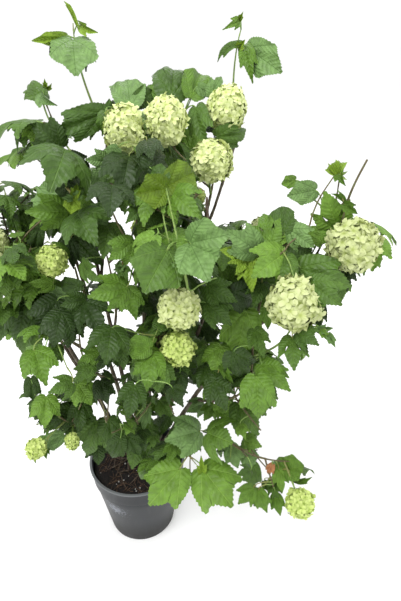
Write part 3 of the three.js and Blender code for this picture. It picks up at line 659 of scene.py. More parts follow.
class Mass:
    """One mass: its leader, the shoots to its blossom, side shoots, finer ones and slots for leaves."""

    def __init__(self, index, name, limbs, space):
        on, tip, self.reach, self.leaf, self.bare, more = MASSES[name]
        self.index = index
        self.name = name
        self.top = more.get("top", (0.6,))
        self.gap = more.get("gap", LEAF["gap"])
        limb, tip = limbs[on], np.array(tip, float)
        way = limb.way(1)
        a = limb.b + way * GAP
        c = np.array(more["bend"], float) if "bend" in more else a + way * np.linalg.norm(tip - a) * 0.45
        self.leader = Shoot(a, c, tip, (limb.thick[1], SHOOT["tip"]))
        self.blooms = [bloom_shoot(self.leader, b) for b in more.get("blooms", ())]
        self.sides, self.fine, self.slots = [], [], []
        space.add(self.leader, 4, SHOOT["side"], index)
        for s in self.blooms:
            space.add(s, 2, SHOOT["side"], index)
            space.add_ball(s.centre, s.size / 2, index)
            if not name.startswith("back"):
                space.shown.append((*s.centre, s.size / 2))

    def pair_ways(self, shoot, t, turn):
        u, v = shoot.frame(t)
        out = u * math.cos(turn) + v * math.sin(turn)
        return out, -out

    def pair(self, shoot, wanted, turn, grown, droop, age):
        t = shoot.take(wanted)
        for out in self.pair_ways(shoot, t, turn):
            self.slots.append((shoot, t, out, grown, droop, age))

    def side_shoot(self, t, out, roll, space):
        """A side shoot, if its mass has the room for it."""
        if self.reach == 0 or t > 0.82:
            return None
        a = self.leader.at(t)
        way = unit(out + self.leader.way(t) * 0.45 + UP * 0.15)
        full = self.reach * (1 - 0.35 * t) * (0.8 + 0.4 * roll())
        for length in (full, full * 0.75, full * 0.5):
            b = a + way * length
            c = (a + b) / 2 - UP * 0.06 * length
            side = Shoot(a, c, b, (SHOOT["side"], SHOOT["tip"]), foot=t)
            marks = side.at([0.5, 0.75, 1])
            middles = side.at([0.4, 0.7, 1])
            if in_opening(middles):
                continue
            if space.free(marks, self.index) and space.off_heads(middles, 12):
                return side
        return None

    def grow_sides(self, space):
        """The leader's pairs, each a quarter turn on: a side shoot where there is room, or else a leaf."""
        for k, wanted in enumerate(pairs_of(self.leader, SHOOT["internode"], self.bare)):
            t = self.leader.take(wanted)
            roll = dice(9000 + self.index * 100 + k)
            for out in self.pair_ways(self.leader, t, self.index + k * math.pi / 2):
                side = self.side_shoot(t, out, roll, space)
                if side:
                    self.sides.append(side)
                else:
                    self.slots.append((self.leader, t, out, 1 - 0.25 * t, (0.3, 1.1), 0))

    def find_slots(self):
        """The places for leaves, in the order in which they are filled, with finer twigs last."""
        if self.reach == 0:
            return
        upper, *rest = self.top
        end = 1 - 10 / self.leader.length if rest else 1
        if rest:
            self.pair(self.leader, 1, self.index + 1.5, rest[0], (-1.1, -0.4), 3)
        self.pair(self.leader, end, self.index, upper, (-0.2, 0.6), 2)
        for i, side in enumerate(self.sides):
            for k, t in enumerate(pairs_of(side, SHOOT["side_internode"], 0.12)):
                self.pair(side, t, i * 2 + k * math.pi / 2, 0.95, (0.4, 1.2), 1)
            self.pair(side, 1, i * 3 + 1, 0.66, (0.1, 0.9), 2)
        for i, s in enumerate(self.blooms):
            self.pair(s, 0.5, i + 1, 0.8, (0.5, 1.2), 1)
            if s.length > 60:
                self.pair(s, 0.15, i + 2.5, 0.85, (0.5, 1.2), 1)


def pairs_of(shoot, internode, bare):
    """The shares of a shoot's length where pairs stand."""
    count = max(1, math.floor(shoot.length * (1 - bare) / internode + 0.5))
    return [bare + (1 - bare) * (k + 0.5) / (count + 0.5) for k in range(count)]


# ---------- set leaves, twigs and openings ----------
# Leaves whose places are given: the foot and the tip of the blade, its width as a share of a common one,
# its turn about its own length from facing the front, its form and its tint. The tint paints each blade's
# light and shade as well as its colour: darker tints where it lies in shade, paler ones where it is lit.
SET_LEAVES = (
    ((228, 59, 1078), (274, 6, 1048), 0.74, 0, "round", "cool"),
    ((223, 56, 1082), (233, 16, 1036), 0.5, 0, "arched", "fresh"),
    ((215, 52, 1086), (178, 54, 1062), 0.5, 50, "arched", "mid"),
    ((212, 53, 1078), (222, 46, 1090), 0.95, 0, "closed", "young"),
    ((214, 64, 1116), (193, 39, 1106), 0.55, 0, "curled", "light"),
    ((213, 64, 1116), (218, 55, 1127), 0.6, 0, "closed", "young"),
    ((-41, 31, 1090), (-27, -32, 1048), 0.98, 0, "round", "cool"),
    ((-52, 34, 1094), (-87, -8, 1089), 0.36, 0, "round", "young"),
    ((-72, 50, 1093), (-78, 25, 1070), 0.6, 0, "closed", "deep"),
    ((-23, 34, 1085), (-17, -7, 1057), 0.5, 0, "arched", "shade"),
    ((-19, 45, 1083), (-6, 14, 1061), 0.35, 0, "closed", "fresh"),
    ((-33, 35, 1108), (-52, 50, 1141), 0.2, 20, "closed", "young"),
    ((-29, 43, 1110), (0, 20, 1099), 0.5, 20, "closed", "young"),
    ((-79, -17, 1027), (-78, -18, 1040), 0.6, 0, "closed", "young"),
    ((-79, -17, 1027), (-68, -19, 1034), 0.6, 30, "closed", "young"),
    ((-81, -27, 1019), (-123, 15, 1022), 0.6, 20, "arched", "mid"),
    ((-81, -26, 1022), (-55, -55, 1008), 0.6, 35, "closed", "cool"),
    ((6, -24, 994), (-65, -57, 969), 0.62, 0, "arched", "shade"),
    ((8, -24, 994), (22, 5, 1008), 0.6, 0, "arched", "shade"),
    ((-37, -104, 957), (-36, -192, 929), 1.1, 0, "arched", "shade"),
    ((-56, -56, 950), (-89, -73, 986), 1.1, 0, "arched", "deep"),
    ((-53, -46, 937), (-22, -31, 912), 0.72, 0, "arched", "dark"),
    ((12, -52, 927), (-17, -72, 935), 1.05, 0, "arched", "cool"),
    ((1, -92, 925), (2, -85, 895), 0.9, 0, "arched", "cool"),
    ((36, -102, 958), (16, -92, 939), 0.9, 0, "arched", "cool"),
    ((46, -15, 1000), (36, 36, 1034), 1, 0, "cupped", "cool"),
    ((50, -1, 1004), (81, 26, 1021), 0.8, 0, "arched", "shade"),
    ((89, 11, 1006), (85, 57, 1035), 0.8, 0, "arched", "fresh"),
    ((108, 9, 1012), (109, 77, 1054), 0.95, 0, "arched", "shade"),
    ((138, 3, 1012), (154, 54, 1044), 0.9, 0, "cupped", "fresh"),
    ((168, -6, 1016), (186, 14, 1042), 0.8, 0, "arched", "cool"),
    ((149, 13, 1028), (171, 3, 1012), 0.8, 0, "arched", "cool"),
    ((146, -4, 1000), (160, -49, 955), 0.7, 20, "arched", "mid"),
    ((177, -27, 960), (230, -8, 964), 0.85, 20, "arched", "mid"),
    ((109, -175, 924), (144, -143, 934), 1.1, 0, "cupped", "olive"),
    ((109, -177, 922), (73, -208, 924), 1, 0, "cupped", "olive"),
    ((115, -174, 916), (149, -222, 902), 0.95, 0, "arched", "fresh"),
    ((111, 137, 784), (166, 126, 766), 0.9, 0, "arched", "dark"),
    ((51, -98, 947), (47, -164, 914), 1.05, 0, "arched", "dark"),
    ((83, -153, 943), (101, -112, 959), 0.9, 0, "arched", "dark"),
    ((107, -176, 933), (83, -145, 938), 0.9, 0, "arched", "shade"),
    ((79, -113, 971), (89, -156, 957), 0.9, 0, "arched", "dark"),
    ((132, 150, 903), (144, 179, 954), 1, 0, "arched", "light"),
    ((177, 43, 961), (166, 81, 972), 1, 0, "arched", "dark"),
    ((-46, -99, 864), (-93, -142, 878), 0.9, 0, "arched", "fresh"),
    ((-62, -99, 876), (-119, -52, 880), 0.8, 0, "arched", "cool"),
    ((-25, -135, 874), (9, -192, 855), 1.15, 0, "arched", "shade"),
    ((4, -145, 857), (9, -110, 887), 0.75, 0, "arched", "cool"),
    ((-26, -143, 898), (-25, -164, 883), 1, 0, "cupped", "young"),
    ((-25, -141, 897), (-19, -135, 917), 0.7, 0, "closed", "young"),
    ((-24, -138, 898), (-9, -139, 908), 0.8, 0, "closed", "cool"),
    ((-26, -146, 899), (-38, -153, 902), 0.8, 0, "closed", "cool"),
    ((34, -159, 922), (40, -218, 903), 1.1, 0, "arched", "dark"),
    ((-34, -118, 913), (-52, -102, 882), 0.9, 0, "arched", "dark"),
    ((-32, -85, 879), (-18, -74, 850), 0.9, 0, "arched", "light"),
    ((20, -132, 858), (17, -181, 828), 1.05, 0, "arched", "mid"),
    ((61, -184, 850), (33, -215, 839), 1, 0, "arched", "fresh"),
    ((-60, -45, 799), (-14, -68, 759), 0.8, 0, "arched", "deep"),
    ((-67, -50, 801), (-61, -76, 756), 0.6, 0, "arched", "dark"),
    ((-102, -82, 835), (-119, -88, 792), 0.6, 0, "arched", "deep"),
    ((-75, -142, 762), (-103, -162, 774), 0.9, 0, "arched", "light"),
    ((-88, -128, 747), (-41, -138, 729), 0.6, 40, "arched", "cool"),
    ((-29, -152, 764), (-70, -137, 760), 0.6, 0, "arched", "deep"),
    ((-26, -144, 799), (8, -181, 786), 0.65, 30, "arched", "mid"),
    ((53, -215, 796), (12, -256, 805), 0.92, 0, "arched", "fresh"),
    ((40, -154, 761), (57, -196, 735), 0.8, 0, "arched", "fresh"),
    ((-23, -173, 748), (12, -221, 724), 1, 0, "arched", "dark"),
    ((-66, -163, 746), (-91, -201, 708), 1.05, 0, "arched", "dark"),
    ((-50, -198, 745), (-55, -242, 716), 1.05, 0, "arched", "dark"),
    ((-40, -177, 732), (-47, -210, 689), 0.85, 0, "arched", "deep"),
    ((-20, -172, 751), (-48, -199, 757), 0.95, 0, "arched", "deep"),
    ((-82, -246, 712), (-55, -293, 692), 0.95, 0, "arched", "fresh"),
    ((-68, -244, 707), (-103, -228, 677), 0.9, 0, "arched", "fresh"),
    ((26, -222, 735), (25, -275, 713), 1.15, 0, "arched", "deep"),
    ((27, -168, 678), (33, -205, 645), 0.8, 0, "arched", "shade"),
    ((-5, -195, 671), (-32, -220, 668), 0.95, 0, "arched", "fresh"),
    ((-13, -213, 661), (-34, -240, 649), 0.95, 0, "arched", "mid"),
    ((-58, -162, 579), (-30, -197, 564), 1.1, 0, "arched", "light"),
    ((-24, -277, 679), (-44, -308, 690), 1, 0, "arched", "mid"),
    ((-137, -119, 511), (-130, -167, 482), 1.05, 0, "arched", "light"),
    ((-173, -87, 528), (-167, -110, 490), 0.8, 0, "arched", "deep"),
    ((79, -225, 700), (44, -237, 713), 1, 0, "cupped", "fresh"),
    ((83, -224, 690), (77, -271, 662), 0.95, 0, "arched", "fresh"),
    ((-13, -182, 603), (3, -215, 583), 0.95, 0, "arched", "dark"),
    ((62, -278, 677), (57, -321, 657), 0.95, 0, "arched", "deep"),
    ((47, -90, 464), (39, -117, 417), 0.5, 0, "arched", "cool"),
    ((-110, -74, 441), (-144, -120, 424), 0.95, 0, "arched", "deep"),
    ((-87, -76, 456), (-84, -129, 430), 0.95, 0, "arched", "deep"),
    ((-111, -76, 429), (-115, -105, 379), 0.9, 0, "arched", "dark"),
    ((-126, -102, 393), (-167, -114, 372), 0.85, 0, "cupped", "cool"),
    ((-64, -69, 400), (-85, -108, 334), 0.95, 0, "arched", "mid"),
    ((-39, -68, 402), (-29, -100, 347), 1, 0, "arched", "shade"),
    ((2, -152, 438), (-15, -173, 402), 0.95, 0, "arched", "deep"),
    ((12, -143, 432), (39, -165, 404), 0.95, 0, "arched", "deep"),
    ((32, -27, 333), (-13, -42, 308), 0.95, 0, "arched", "dark"),
    ((152, -145, 447), (92, -179, 460), 1.2, 0, "arched", "cool"),
    ((165, -178, 477), (204, -215, 494), 1.6, 0, "arched", "fresh"),
    ((116, -181, 387), (56, -232, 345), 1.05, 0, "arched", "light"),
    ((156, -181, 387), (210, -244, 361), 1.2, 0, "arched", "light"),
    ((156, -188, 384), (154, -178, 417), 0.6, 0, "closed", "young"),
    ((209, -158, 424), (223, -189, 396), 0.95, 0, "arched", "cool"),
    ((235, -149, 410), (257, -180, 385), 0.9, 0, "arched", "cool"),
    ((241, -230, 442), (217, -247, 452), 1, 0, "arched", "shade"),
    ((249, -229, 394), (220, -258, 390), 1, 0, "arched", "fresh"),
    ((256, -231, 391), (269, -266, 377), 0.8, 0, "arched", "fresh"),
    ((286, -205, 386), (290, -244, 371), 0.7, 0, "arched", "mid"),
    ((289, -229, 375), (294, -262, 363), 0.85, 0, "arched", "fresh"),
    ((302, -207, 413), (294, -176, 405), 1.1, 0, "cupped", "light"),
    ((295, -203, 414), (299, -237, 392), 0.8, 0, "arched", "light"),
    ((303, -206, 414), (336, -219, 439), 1.15, 0, "cupped", "fresh"),
    ((324, -212, 394), (354, -219, 409), 0.4, 30, "closed", "fresh"),
    ((235, -147, 425), (265, -168, 432), 1.3, 0, "arched", "light"),
    ((222, -137, 513), (252, -196, 495), 1.05, 0, "arched", "mid"),
    ((221, -194, 515), (228, -224, 513), 0.8, 0, "arched", "light"),
    ((172, -217, 633), (192, -254, 606), 1, 0, "arched", "deep"),
    ((160, -70, 448), (128, -99, 453), 1, 0, "arched", "cool"),
    ((121, -207, 641), (104, -247, 624), 1, 0, "arched", "dark"),
    ((160, -190, 639), (174, -232, 622), 1, 0, "arched", "deep"),
    ((73, -94, 478), (99, -130, 470), 0.9, 0, "arched", "mid"),
    ((231, -269, 683), (233, -308, 641), 1, 0, "arched", "fresh"),
    ((243, -228, 673), (280, -271, 659), 0.8, 0, "arched", "fresh"),
    ((187, -174, 667), (174, -208, 636), 1.2, 0, "arched", "light"),
    ((225, -150, 718), (209, -188, 653), 0.95, 0, "arched", "light"),
    ((234, -194, 713), (245, -234, 692), 0.8, 0, "arched", "mid"),
    ((161, -157, 767), (204, -191, 760), 0.9, 0, "arched", "shade"),
    ((160, -173, 748), (196, -211, 733), 0.9, 0, "arched", "shade"),
    ((201, -166, 761), (241, -147, 732), 1.1, 0, "arched", "dark"),
    ((234, 131, 575), (285, 96, 516), 1.1, 0, "arched", "deep"),
    ((152, 105, 531), (188, 78, 484), 1, 0, "arched", "deep"),
    ((201, -211, 683), (224, -210, 631), 1, 0, "arched", "deep"),
    ((112, -240, 863), (91, -311, 845), 0.95, 0, "round", "mid"),
    ((112, -236, 858), (107, -290, 841), 0.7, 0, "arched", "cool"),
    ((140, -240, 872), (183, -281, 899), 0.85, 0, "round", "cool"),
    ((141, -241, 871), (161, -298, 852), 0.95, 0, "round", "cool"),
    ((236, -163, 826), (191, -174, 862), 0.95, 0, "arched", "cool"),
    ((222, -161, 819), (181, -175, 834), 0.8, 0, "cut", "young"),
    ((223, -157, 815), (227, -194, 779), 0.8, 0, "cut", "young"),
    ((223, -157, 815), (204, -183, 800), 0.8, 0, "cut", "young"),
    ((254, -162, 838), (245, -123, 872), 0.9, 0, "cut", "fresh"),
    ((255, -161, 839), (282, -139, 852), 0.8, 0, "cut", "light"),
    ((273, -153, 852), (270, -119, 878), 0.95, 0, "cupped", "shade"),
    ((280, -151, 856), (312, -176, 839), 1, 0, "arched", "cool"),
    ((283, -142, 852), (300, -120, 858), 0.9, 0, "arched", "fresh"),
    ((359, -123, 844), (331, -125, 901), 1, 0, "cut", "light"),
    ((355, -143, 890), (372, -156, 880), 0.8, 0, "closed", "fresh"),
    ((356, -137, 890), (337, -136, 903), 0.5, 30, "closed", "fresh"),
    ((317, -116, 838), (348, -134, 829), 0.9, 0, "arched", "light"),
    ((322, -108, 900), (279, -129, 898), 0.8, 0, "round", "cool"),
    ((293, -96, 911), (270, -109, 909), 0.8, 0, "cupped", "light"),
    ((337, -142, 931), (329, -130, 939), 0.8, 0, "closed", "young"),
    ((338, -142, 932), (337, -125, 943), 0.8, 0, "closed", "young"),
    ((340, -141, 933), (348, -123, 943), 0.8, 0, "closed", "young"),
    ((340, -143, 930), (351, -132, 927), 0.8, 0, "closed", "young"),
    ((343, -148, 932), (345, -168, 923), 0.7, 20, "closed", "fresh"),
    ((293, -179, 808), (364, -209, 793), 0.85, 0, "arched", "mid"),
    ((298, -225, 809), (333, -261, 796), 1, 0, "arched", "mid"),
    ((281, -171, 821), (329, -151, 801), 0.8, 0, "arched", "deep"),
    ((272, -173, 828), (225, -217, 814), 1.1, 0, "arched", "light"),
    ((273, -174, 827), (264, -218, 802), 0.9, 0, "arched", "mid"),
    ((318, -227, 776), (311, -257, 752), 0.6, 0, "arched", "dark"),
    ((280, -245, 734), (276, -293, 717), 0.9, 0, "cut", "mid"),
    ((286, -249, 747), (304, -283, 749), 0.95, 0, "arched", "shade"),
    ((310, -260, 755), (328, -265, 762), 0.7, 0, "closed", "cool"),
    ((313, -264, 757), (320, -280, 751), 0.6, 0, "closed", "light"),
    ((321, -271, 756), (327, -288, 747), 0.6, 0, "closed", "cool"),
    ((365, -157, 807), (369, -179, 768), 0.75, 0, "arched", "dark"),
    ((246, -158, 774), (231, -195, 754), 0.9, 0, "arched", "shade"),
    ((256, -163, 746), (256, -186, 706), 0.6, 0, "arched", "fresh"),
    ((283, -204, 425), (275, -214, 408), 0.9, 10, "curled", "rust"),
    ((44, -209, 822), (37, -212, 830), 0.9, 0, "closed", "cool"),
    ((44, -209, 822), (53, -214, 829), 0.9, 0, "closed", "cool"),
    ((44, -209, 822), (43, -220, 817), 0.9, 0, "closed", "cool"),
    ((44, -208, 824), (46, -212, 834), 0.9, 0, "closed", "cool"),
    ((44, -209, 822), (35, -215, 822), 0.9, 0, "closed", "cool"),
    ((-50, -52, 960), (-50, -43, 976), 0.6, 0, "closed", "cool"),
    ((-50, -51, 963), (-55, -53, 970), 0.6, 0, "closed", "cool"),
    ((-52, -38, 962), (-44, -34, 970), 0.6, 0, "closed", "cool"),
    ((-7, -13, 993), (-13, -49, 961), 0.62, 0, "arched", "shade"),
    ((10, -33, 997), (10, -67, 973), 0.6, 0, "arched", "mid"),
    ((252, -172, 389), (251, -198, 351), 0.9, 0, "arched", "mid"),
    ((185, -210, 655), (202, -232, 640), 0.5, 0, "closed", "fresh"),
    ((212, -127, 499), (175, -116, 467), 1, 0, "arched", "light"),
    ((270, -210, 387), (276, -225, 378), 0.9, 0, "closed", "mid"),
    ((113, -273, 666), (128, -307, 667), 0.9, 0, "arched", "dark"),
    ((180, -93, 467), (160, -125, 455), 1, 0, "arched", "fresh"),
    ((-58, -218, 701), (-59, -253, 689), 0.8, 0, "arched", "shade"),
    ((9, -198, 665), (-2, -226, 660), 0.9, 0, "arched", "dark"),
    ((71, -181, 894), (60, -213, 890), 0.8, 0, "arched", "shade"),
    ((45, -203, 821), (56, -227, 815), 0.8, 0, "arched", "shade"),
    ((194, -114, 481), (202, -151, 472), 0.9, 0, "arched", "light"),
)
# Twigs whose places are given: the sort, the radius at each end, and points on the way.
SET_TWIGS = (
    ("green", 1.7, 1.3, (
        (136, -233, 805), (130, -234, 839), (122, -220, 875), (114, -196, 904), (108, -178, 923),
    )),
    ("green", 1.3, 1.0, ((122, -225, 838), (114, -222, 860), (107, -209, 885), (102, -189, 908))),
    ("green", 1.1, 0.9, ((136, -233, 805), (152, -229, 807), (166, -222, 811), (175, -216, 811))),
    ("wood", 1.5, 1.3, ((259, -176, 824), (269, -180, 833))),
    ("green", 1.2, 1.2, ((269, -180, 833), (275, -196, 825), (280, -216, 811))),
    ("wood", 1.3, 1.0, ((269, -180, 833), (278, -172, 842), (291, -163, 849))),
    ("dry", 1.9, 1.1, (
        (74, -166, 841), (67, -163, 862), (60, -157, 884), (51, -150, 904), (40, -144, 914),
        (26, -137, 918),
    )),
    ("wood", 1.6, 1.3, ((48, -155, 839), (37, -149, 857), (26, -137, 878))),
    ("wood", 2.2, 1.6, ((-37, -118, 734), (-44, -114, 754), (-49, -107, 774))),
    ("wood", 1.3, 1.1, ((-5, -206, 534), (-8, -202, 560), (-15, -196, 581))),
    ("green", 1.7, 1.2, (
        (3, -87, 897), (-24, -67, 923), (-46, -52, 945), (-75, -28, 977), (-89, -8, 1008), (-85, 4, 1025),
    )),
    ("wood", 1.5, 1.0, ((307, -142, 851), (316, -130, 871), (328, -115, 892), (349, -96, 917))),
    ("dry", 1.2, 1.2, ((163, -94, 832), (163, -85, 852), (163, -78, 869))),
    ("bud", 1.2, 2.6, ((163, -80, 863), (163, -76, 872), (163, -72, 878))),
    ("wood", 2.0, 1.6, ((135, -83, 832), (140, -71, 860), (148, -60, 889))),
    ("wood", 1.3, 1.1, ((137, -152, 414), (133, -166, 394), (133, -180, 374))),
    ("wood", 2.2, 1.4, (
        (360, -129, 860), (361, -131, 877), (365, -133, 902), (369, -138, 924), (375, -147, 952),
    )),
    ("wood", 1.3, 1.0, (
        (250, -168, 419), (268, -188, 409), (281, -200, 404), (303, -212, 408), (318, -223, 404),
        (320, -237, 397),
    )),
    ("wood", 1.4, 1.1, ((-120, -91, 826), (-102, -89, 841), (-80, -84, 858))),
    ("wood", 1.4, 1.1, ((101, -125, 911), (102, -130, 892))),
    ("wood", 1.2, 1.0, ((115, -48, 944), (131, -56, 930))),
    ("dry", 2.2, 1.6, ((-18, -34, 204), (-16, -40, 232), (-12, -46, 252))),
    ("dry", 1.8, 1.2, ((8, -52, 204), (14, -60, 226), (26, -70, 238))),
    ("dry", 1.6, 1.0, ((26, -30, 204), (34, -40, 230), (36, -54, 262))),
    ("dry", 1.4, 0.9, ((-34, -10, 204), (-42, -20, 236), (-52, -26, 256))),
    ("dry", 1.5, 0.9, ((2, -16, 204), (-2, -30, 240), (6, -40, 276))),
)
# Openings in the crown: where the line from the eye through each meets the upright plane through the
# pot's middle, across and up, and its radius there.
OPENINGS = (
    (-12, 1098, 5), (-20, 1094, 3), (-1, 1100, 4), (313, -9, 12), (163, 818, 7), (222, 1099, 4),
    (228, 1094, 4), (253, 938, 46), (314, 953, 45), (364, 962, 42), (279, 889, 13), (230, 875, 24),
    (211, 889, 17), (-3, 822, 9), (21, 813, 12), (15, 788, 13), (34, 818, 5), (-37, 845, 6),
    (-106, 782, 6), (-132, 777, 7), (-155, 753, 6), (-27, 733, 11), (-49, 716, 9), (11, 688, 10),
    (-83, 671, 6), (-130, 623, 5), (-34, 646, 8), (-23, 614, 16), (-3, 616, 16), (15, 623, 8),
    (33, 600, 7), (-83, 568, 12), (-80, 543, 10), (-114, 525, 17), (-133, 499, 13), (-124, 472, 13),
    (-140, 530, 8), (-130, 568, 7), (-66, 543, 6), (-169, 548, 6), (-73, 444, 7), (-44, 488, 9),
    (-27, 474, 11), (-30, 415, 11), (11, 429, 9), (-66, 367, 14), (-51, 383, 14), (-78, 340, 14),
    (-50, 346, 11), (-100, 327, 8), (-159, 367, 9), (-177, 355, 6), (5, 349, 5), (58, 435, 7),
    (72, 403, 7), (110, 409, 9), (136, 418, 15), (121, 432, 7), (109, 367, 7), (170, 383, 7),
    (163, 361, 3), (154, 321, 12), (138, 317, 5), (227, 412, 10), (235, 391, 9), (213, 304, 6),
    (230, 291, 11), (241, 301, 12), (238, 265, 12), (248, 241, 7), (132, 220, 10), (127, 192, 10),
    (159, 213, 11), (188, 224, 9), (238, 181, 6), (235, 144, 10), (254, 121, 10), (275, 188, 6),
    (270, 616, 6), (281, 561, 8), (315, 575, 18), (301, 543, 15), (330, 525, 10), (374, 755, 11),
    (138, 949, 7), (121, 1012, 5), (141, 1007, 9), (157, 1012, 8), (60, 997, 8), (340, 811, 9),
    (137, 868, 6), (102, 800, 4), (71, 813, 4), (175, 851, 14), (191, 829, 14), (218, 844, 21),
    (252, 796, 9), (254, 826, 11), (186, 872, 17), (220, 877, 24), (258, 868, 24), (388, 845, 5),
    (341, 833, 12), (354, 842, 7), (299, 856, 14), (277, 847, 10), (-17, 956, 13), (-7, 941, 11),
    (-36, 946, 8), (-52, 938, 7), (-25, 931, 6), (-83, 995, 9), (-77, 985, 8), (-105, 995, 11),
    (-21, 909, 7), (-55, 1012, 12), (-1, 1024, 28), (17, 1054, 36), (63, 1062, 27), (160, 1077, 32),
    (200, 1051, 8), (248, 1017, 28), (264, 966, 35), (243, 918, 26), (316, 935, 39), (360, 966, 48),
    (355, 885, 8), (403, 902, 8), (387, 950, 26), (307, 1010, 62), (417, 868, 5), (441, 616, 24),
    (464, 651, 27), (413, 604, 8), (386, 491, 17), (424, 449, 39), (399, 391, 45), (358, 346, 32),
    (354, 265, 43), (433, 298, 70), (455, 530, 52), (477, 391, 56), (320, 248, 17), (319, 195, 10),
    (420, 213, 24), (477, 159, 40), (-111, 879, 5), (-119, 902, 5), (-126, 889, 12), (-115, 885, 7),
    (-193, 195, 25), (-149, 159, 30), (-211, 159, 30), (-265, 140, 35), (-185, 82, 52), (-154, 469, 9),
    (-190, 427, 13), (-178, 391, 6), (-228, 298, 9), (-237, 317, 8), (-113, 703, 8), (-101, 710, 8),
    (-90, 717, 6), (-67, 705, 7), (-70, 688, 7), (-73, 720, 3), (-28, 741, 7), (-28, 724, 11),
    (-43, 720, 6), (-15, 716, 9), (25, 724, 6), (13, 693, 8), (-36, 646, 8), (-31, 635, 4),
    (-21, 614, 16), (-4, 609, 16), (-36, 604, 10), (11, 600, 8), (10, 628, 5), (19, 619, 6),
    (-84, 580, 8), (-88, 561, 10), (-93, 540, 12), (-68, 573, 4), (-63, 545, 8), (-125, 522, 10),
    (-104, 520, 15), (-120, 496, 15), (-122, 469, 9), (-167, 469, 11), (-150, 472, 11), (-159, 452, 7),
    (-181, 412, 11), (-201, 412, 9), (-181, 449, 9), (-37, 480, 9), (-25, 469, 11), (-10, 472, 9),
    (-69, 441, 5), (-25, 421, 11), (-31, 406, 7), (13, 429, 9), (241, 170, 7), (258, 177, 10),
    (256, 121, 15), (243, 129, 10), (249, 98, 8), (305, 188, 10), (307, 159, 10), (317, 129, 8),
    (312, 90, 5), (120, 202, 10), (119, 174, 10), (127, 144, 10), (309, 330, 14), (307, 298, 12),
    (304, 265, 10), (317, 231, 19), (325, 355, 14), (342, 376, 18), (330, 379, 9), (353, 397, 13),
    (370, 449, 17), (365, 409, 13), (372, 488, 13), (335, 493, 6), (378, 525, 10), (306, 580, 12),
    (326, 570, 10), (300, 556, 10), (304, 530, 8), (411, 619, 8), (285, 563, 4), (223, 415, 7),
    (228, 383, 7), (241, 394, 7), (270, 485, 5), (281, 474, 8), (103, 415, 6), (119, 435, 5),
    (128, 418, 9), (139, 421, 11), (136, 403, 8), (179, 388, 4), (152, 330, 7), (145, 317, 8),
    (161, 308, 8), (409, 885, 14), (424, 877, 14), (425, 854, 14), (435, 836, 10), (436, 860, 10),
    (404, 899, 10), (405, 910, 10), (395, 854, 5), (353, 805, 5), (358, 836, 3), (409, 868, 10),
    (403, 860, 5), (253, 794, 7), (260, 784, 5), (277, 822, 4), (152, 1010, 8), (160, 1008, 5),
    (183, 842, 16), (193, 858, 17), (177, 826, 9), (201, 829, 14), (191, 818, 7), (214, 826, 11),
    (236, 833, 17), (260, 844, 16), (274, 840, 7), (-104, 1001, 9), (-104, 989, 8), (-72, 1027, 8),
    (-64, 1017, 9), (-39, 1017, 9), (-24, 1012, 9), (1, 1002, 6), (10, 1012, 9), (-13, 1001, 4),
    (-33, 955, 5), (-40, 944, 8), (-31, 938, 11), (-12, 956, 6), (-13, 946, 10), (-5, 935, 5),
    (-124, 910, 8), (-121, 897, 8), (-113, 885, 7), (-107, 873, 5), (-130, 889, 8), (-28, 907, 4),
    (-80, 364, 9), (-78, 343, 9), (-104, 314, 9), (-97, 301, 7), (-61, 376, 11), (-53, 361, 14),
    (-53, 336, 12), (-159, 370, 9), (306, 868, 7), (299, 853, 14), (327, 836, 10), (341, 829, 11),
    (317, 827, 7), (296, 851, 9), (360, 872, 9), (398, 882, 7), (362, 885, 10), (451, 684, 10),
    (462, 686, 10), (447, 660, 10), (468, 695, 8), (449, 703, 5), (364, -43, 11), (380, -35, 8),
    (343, -43, 11), (301, 244, 10), (327, 224, 12), (351, 224, 12), (375, 231, 15), (397, 202, 12),
    (194, 851, 14), (181, 805, 5), (235, 824, 9), (197, 1067, 6), (200, 1074, 4), (-64, 1108, 9),
    (-50, 1108, 7), (-77, 1077, 4),
)


# ---------- leaves ----------
# Points spread over a blade, as shares of its length along and across, for telling whether it is clear.
SPREAD = np.array(
    [
        (0.1, 0.1), (0.1, -0.1), (0.3, 0), (0.3, 0.22), (0.3, -0.22), (0.52, 0.12), (0.52, -0.12),
        (0.38, 0.46), (0.38, -0.46), (0.74, 0.1), (0.74, -0.1), (1.0, 0),
    ]
)


class Leaf:
    """A blade's place: its stalk's root, the stalk's way, the blade's foot, and forward, across and up."""

    def __init__(self, root, way, base, forward, up, size):
        self.root, self.way, self.base, self.forward, self.up = root, way, base, forward, up
        self.across = np.cross(up, forward)
        self.size = size

    def folded(self):
        """True if the blade lies back over its own stalk, or stands askew on it."""
        hinge = squared(self.across, self.way)
        rise = np.cross(self.way, hinge)
        return rise @ self.up < -0.15 or hinge @ self.across < 0.6

    def points(self, drop=0.04):
        x, y = SPREAD[:, :1], SPREAD[:, 1:]
        return self.base + (self.forward * x + self.across * y - self.up * drop) * self.size

    def middle(self):
        return self.base + self.forward * 0.45 * self.size

    def rim(self):
        """Points all round the blade's edge, and a ring of them further in."""
        left = np.array(EDGE) * (1, 0.9)
        flat = np.concatenate([left, left * (1, -1), left * 0.6, left * (0.6, -0.6)])
        offset = self.forward * flat[:, :1] + self.across * flat[:, 1:] - self.up * 0.04
        return self.base + offset * self.size


def leaf_on(shoot, t, out, size, turn, droop, tilt):
    """A leaf on a shoot: its stalk rises away from it, and its blade turns to the light and droops."""
    root = shoot.at(t)
    lift = unit(out + shoot.way(t) * 0.35 + UP * 0.25)
    flat = unit(np.array([lift[0] + 0.01, lift[1] - LEAF["to_front"], 0]))
    heading = flat * math.cos(turn) + np.array([-flat[1], flat[0], 0]) * math.sin(turn)
    forward = heading * math.cos(droop) - UP * math.sin(droop)
    way = unit(lift + heading * 0.5)
    base = root + way * LEAF["stalk"] * min(1, size / 80)
    return Leaf(root, way, base, forward, squared(UP + np.cross(heading, UP) * tilt, forward), size)


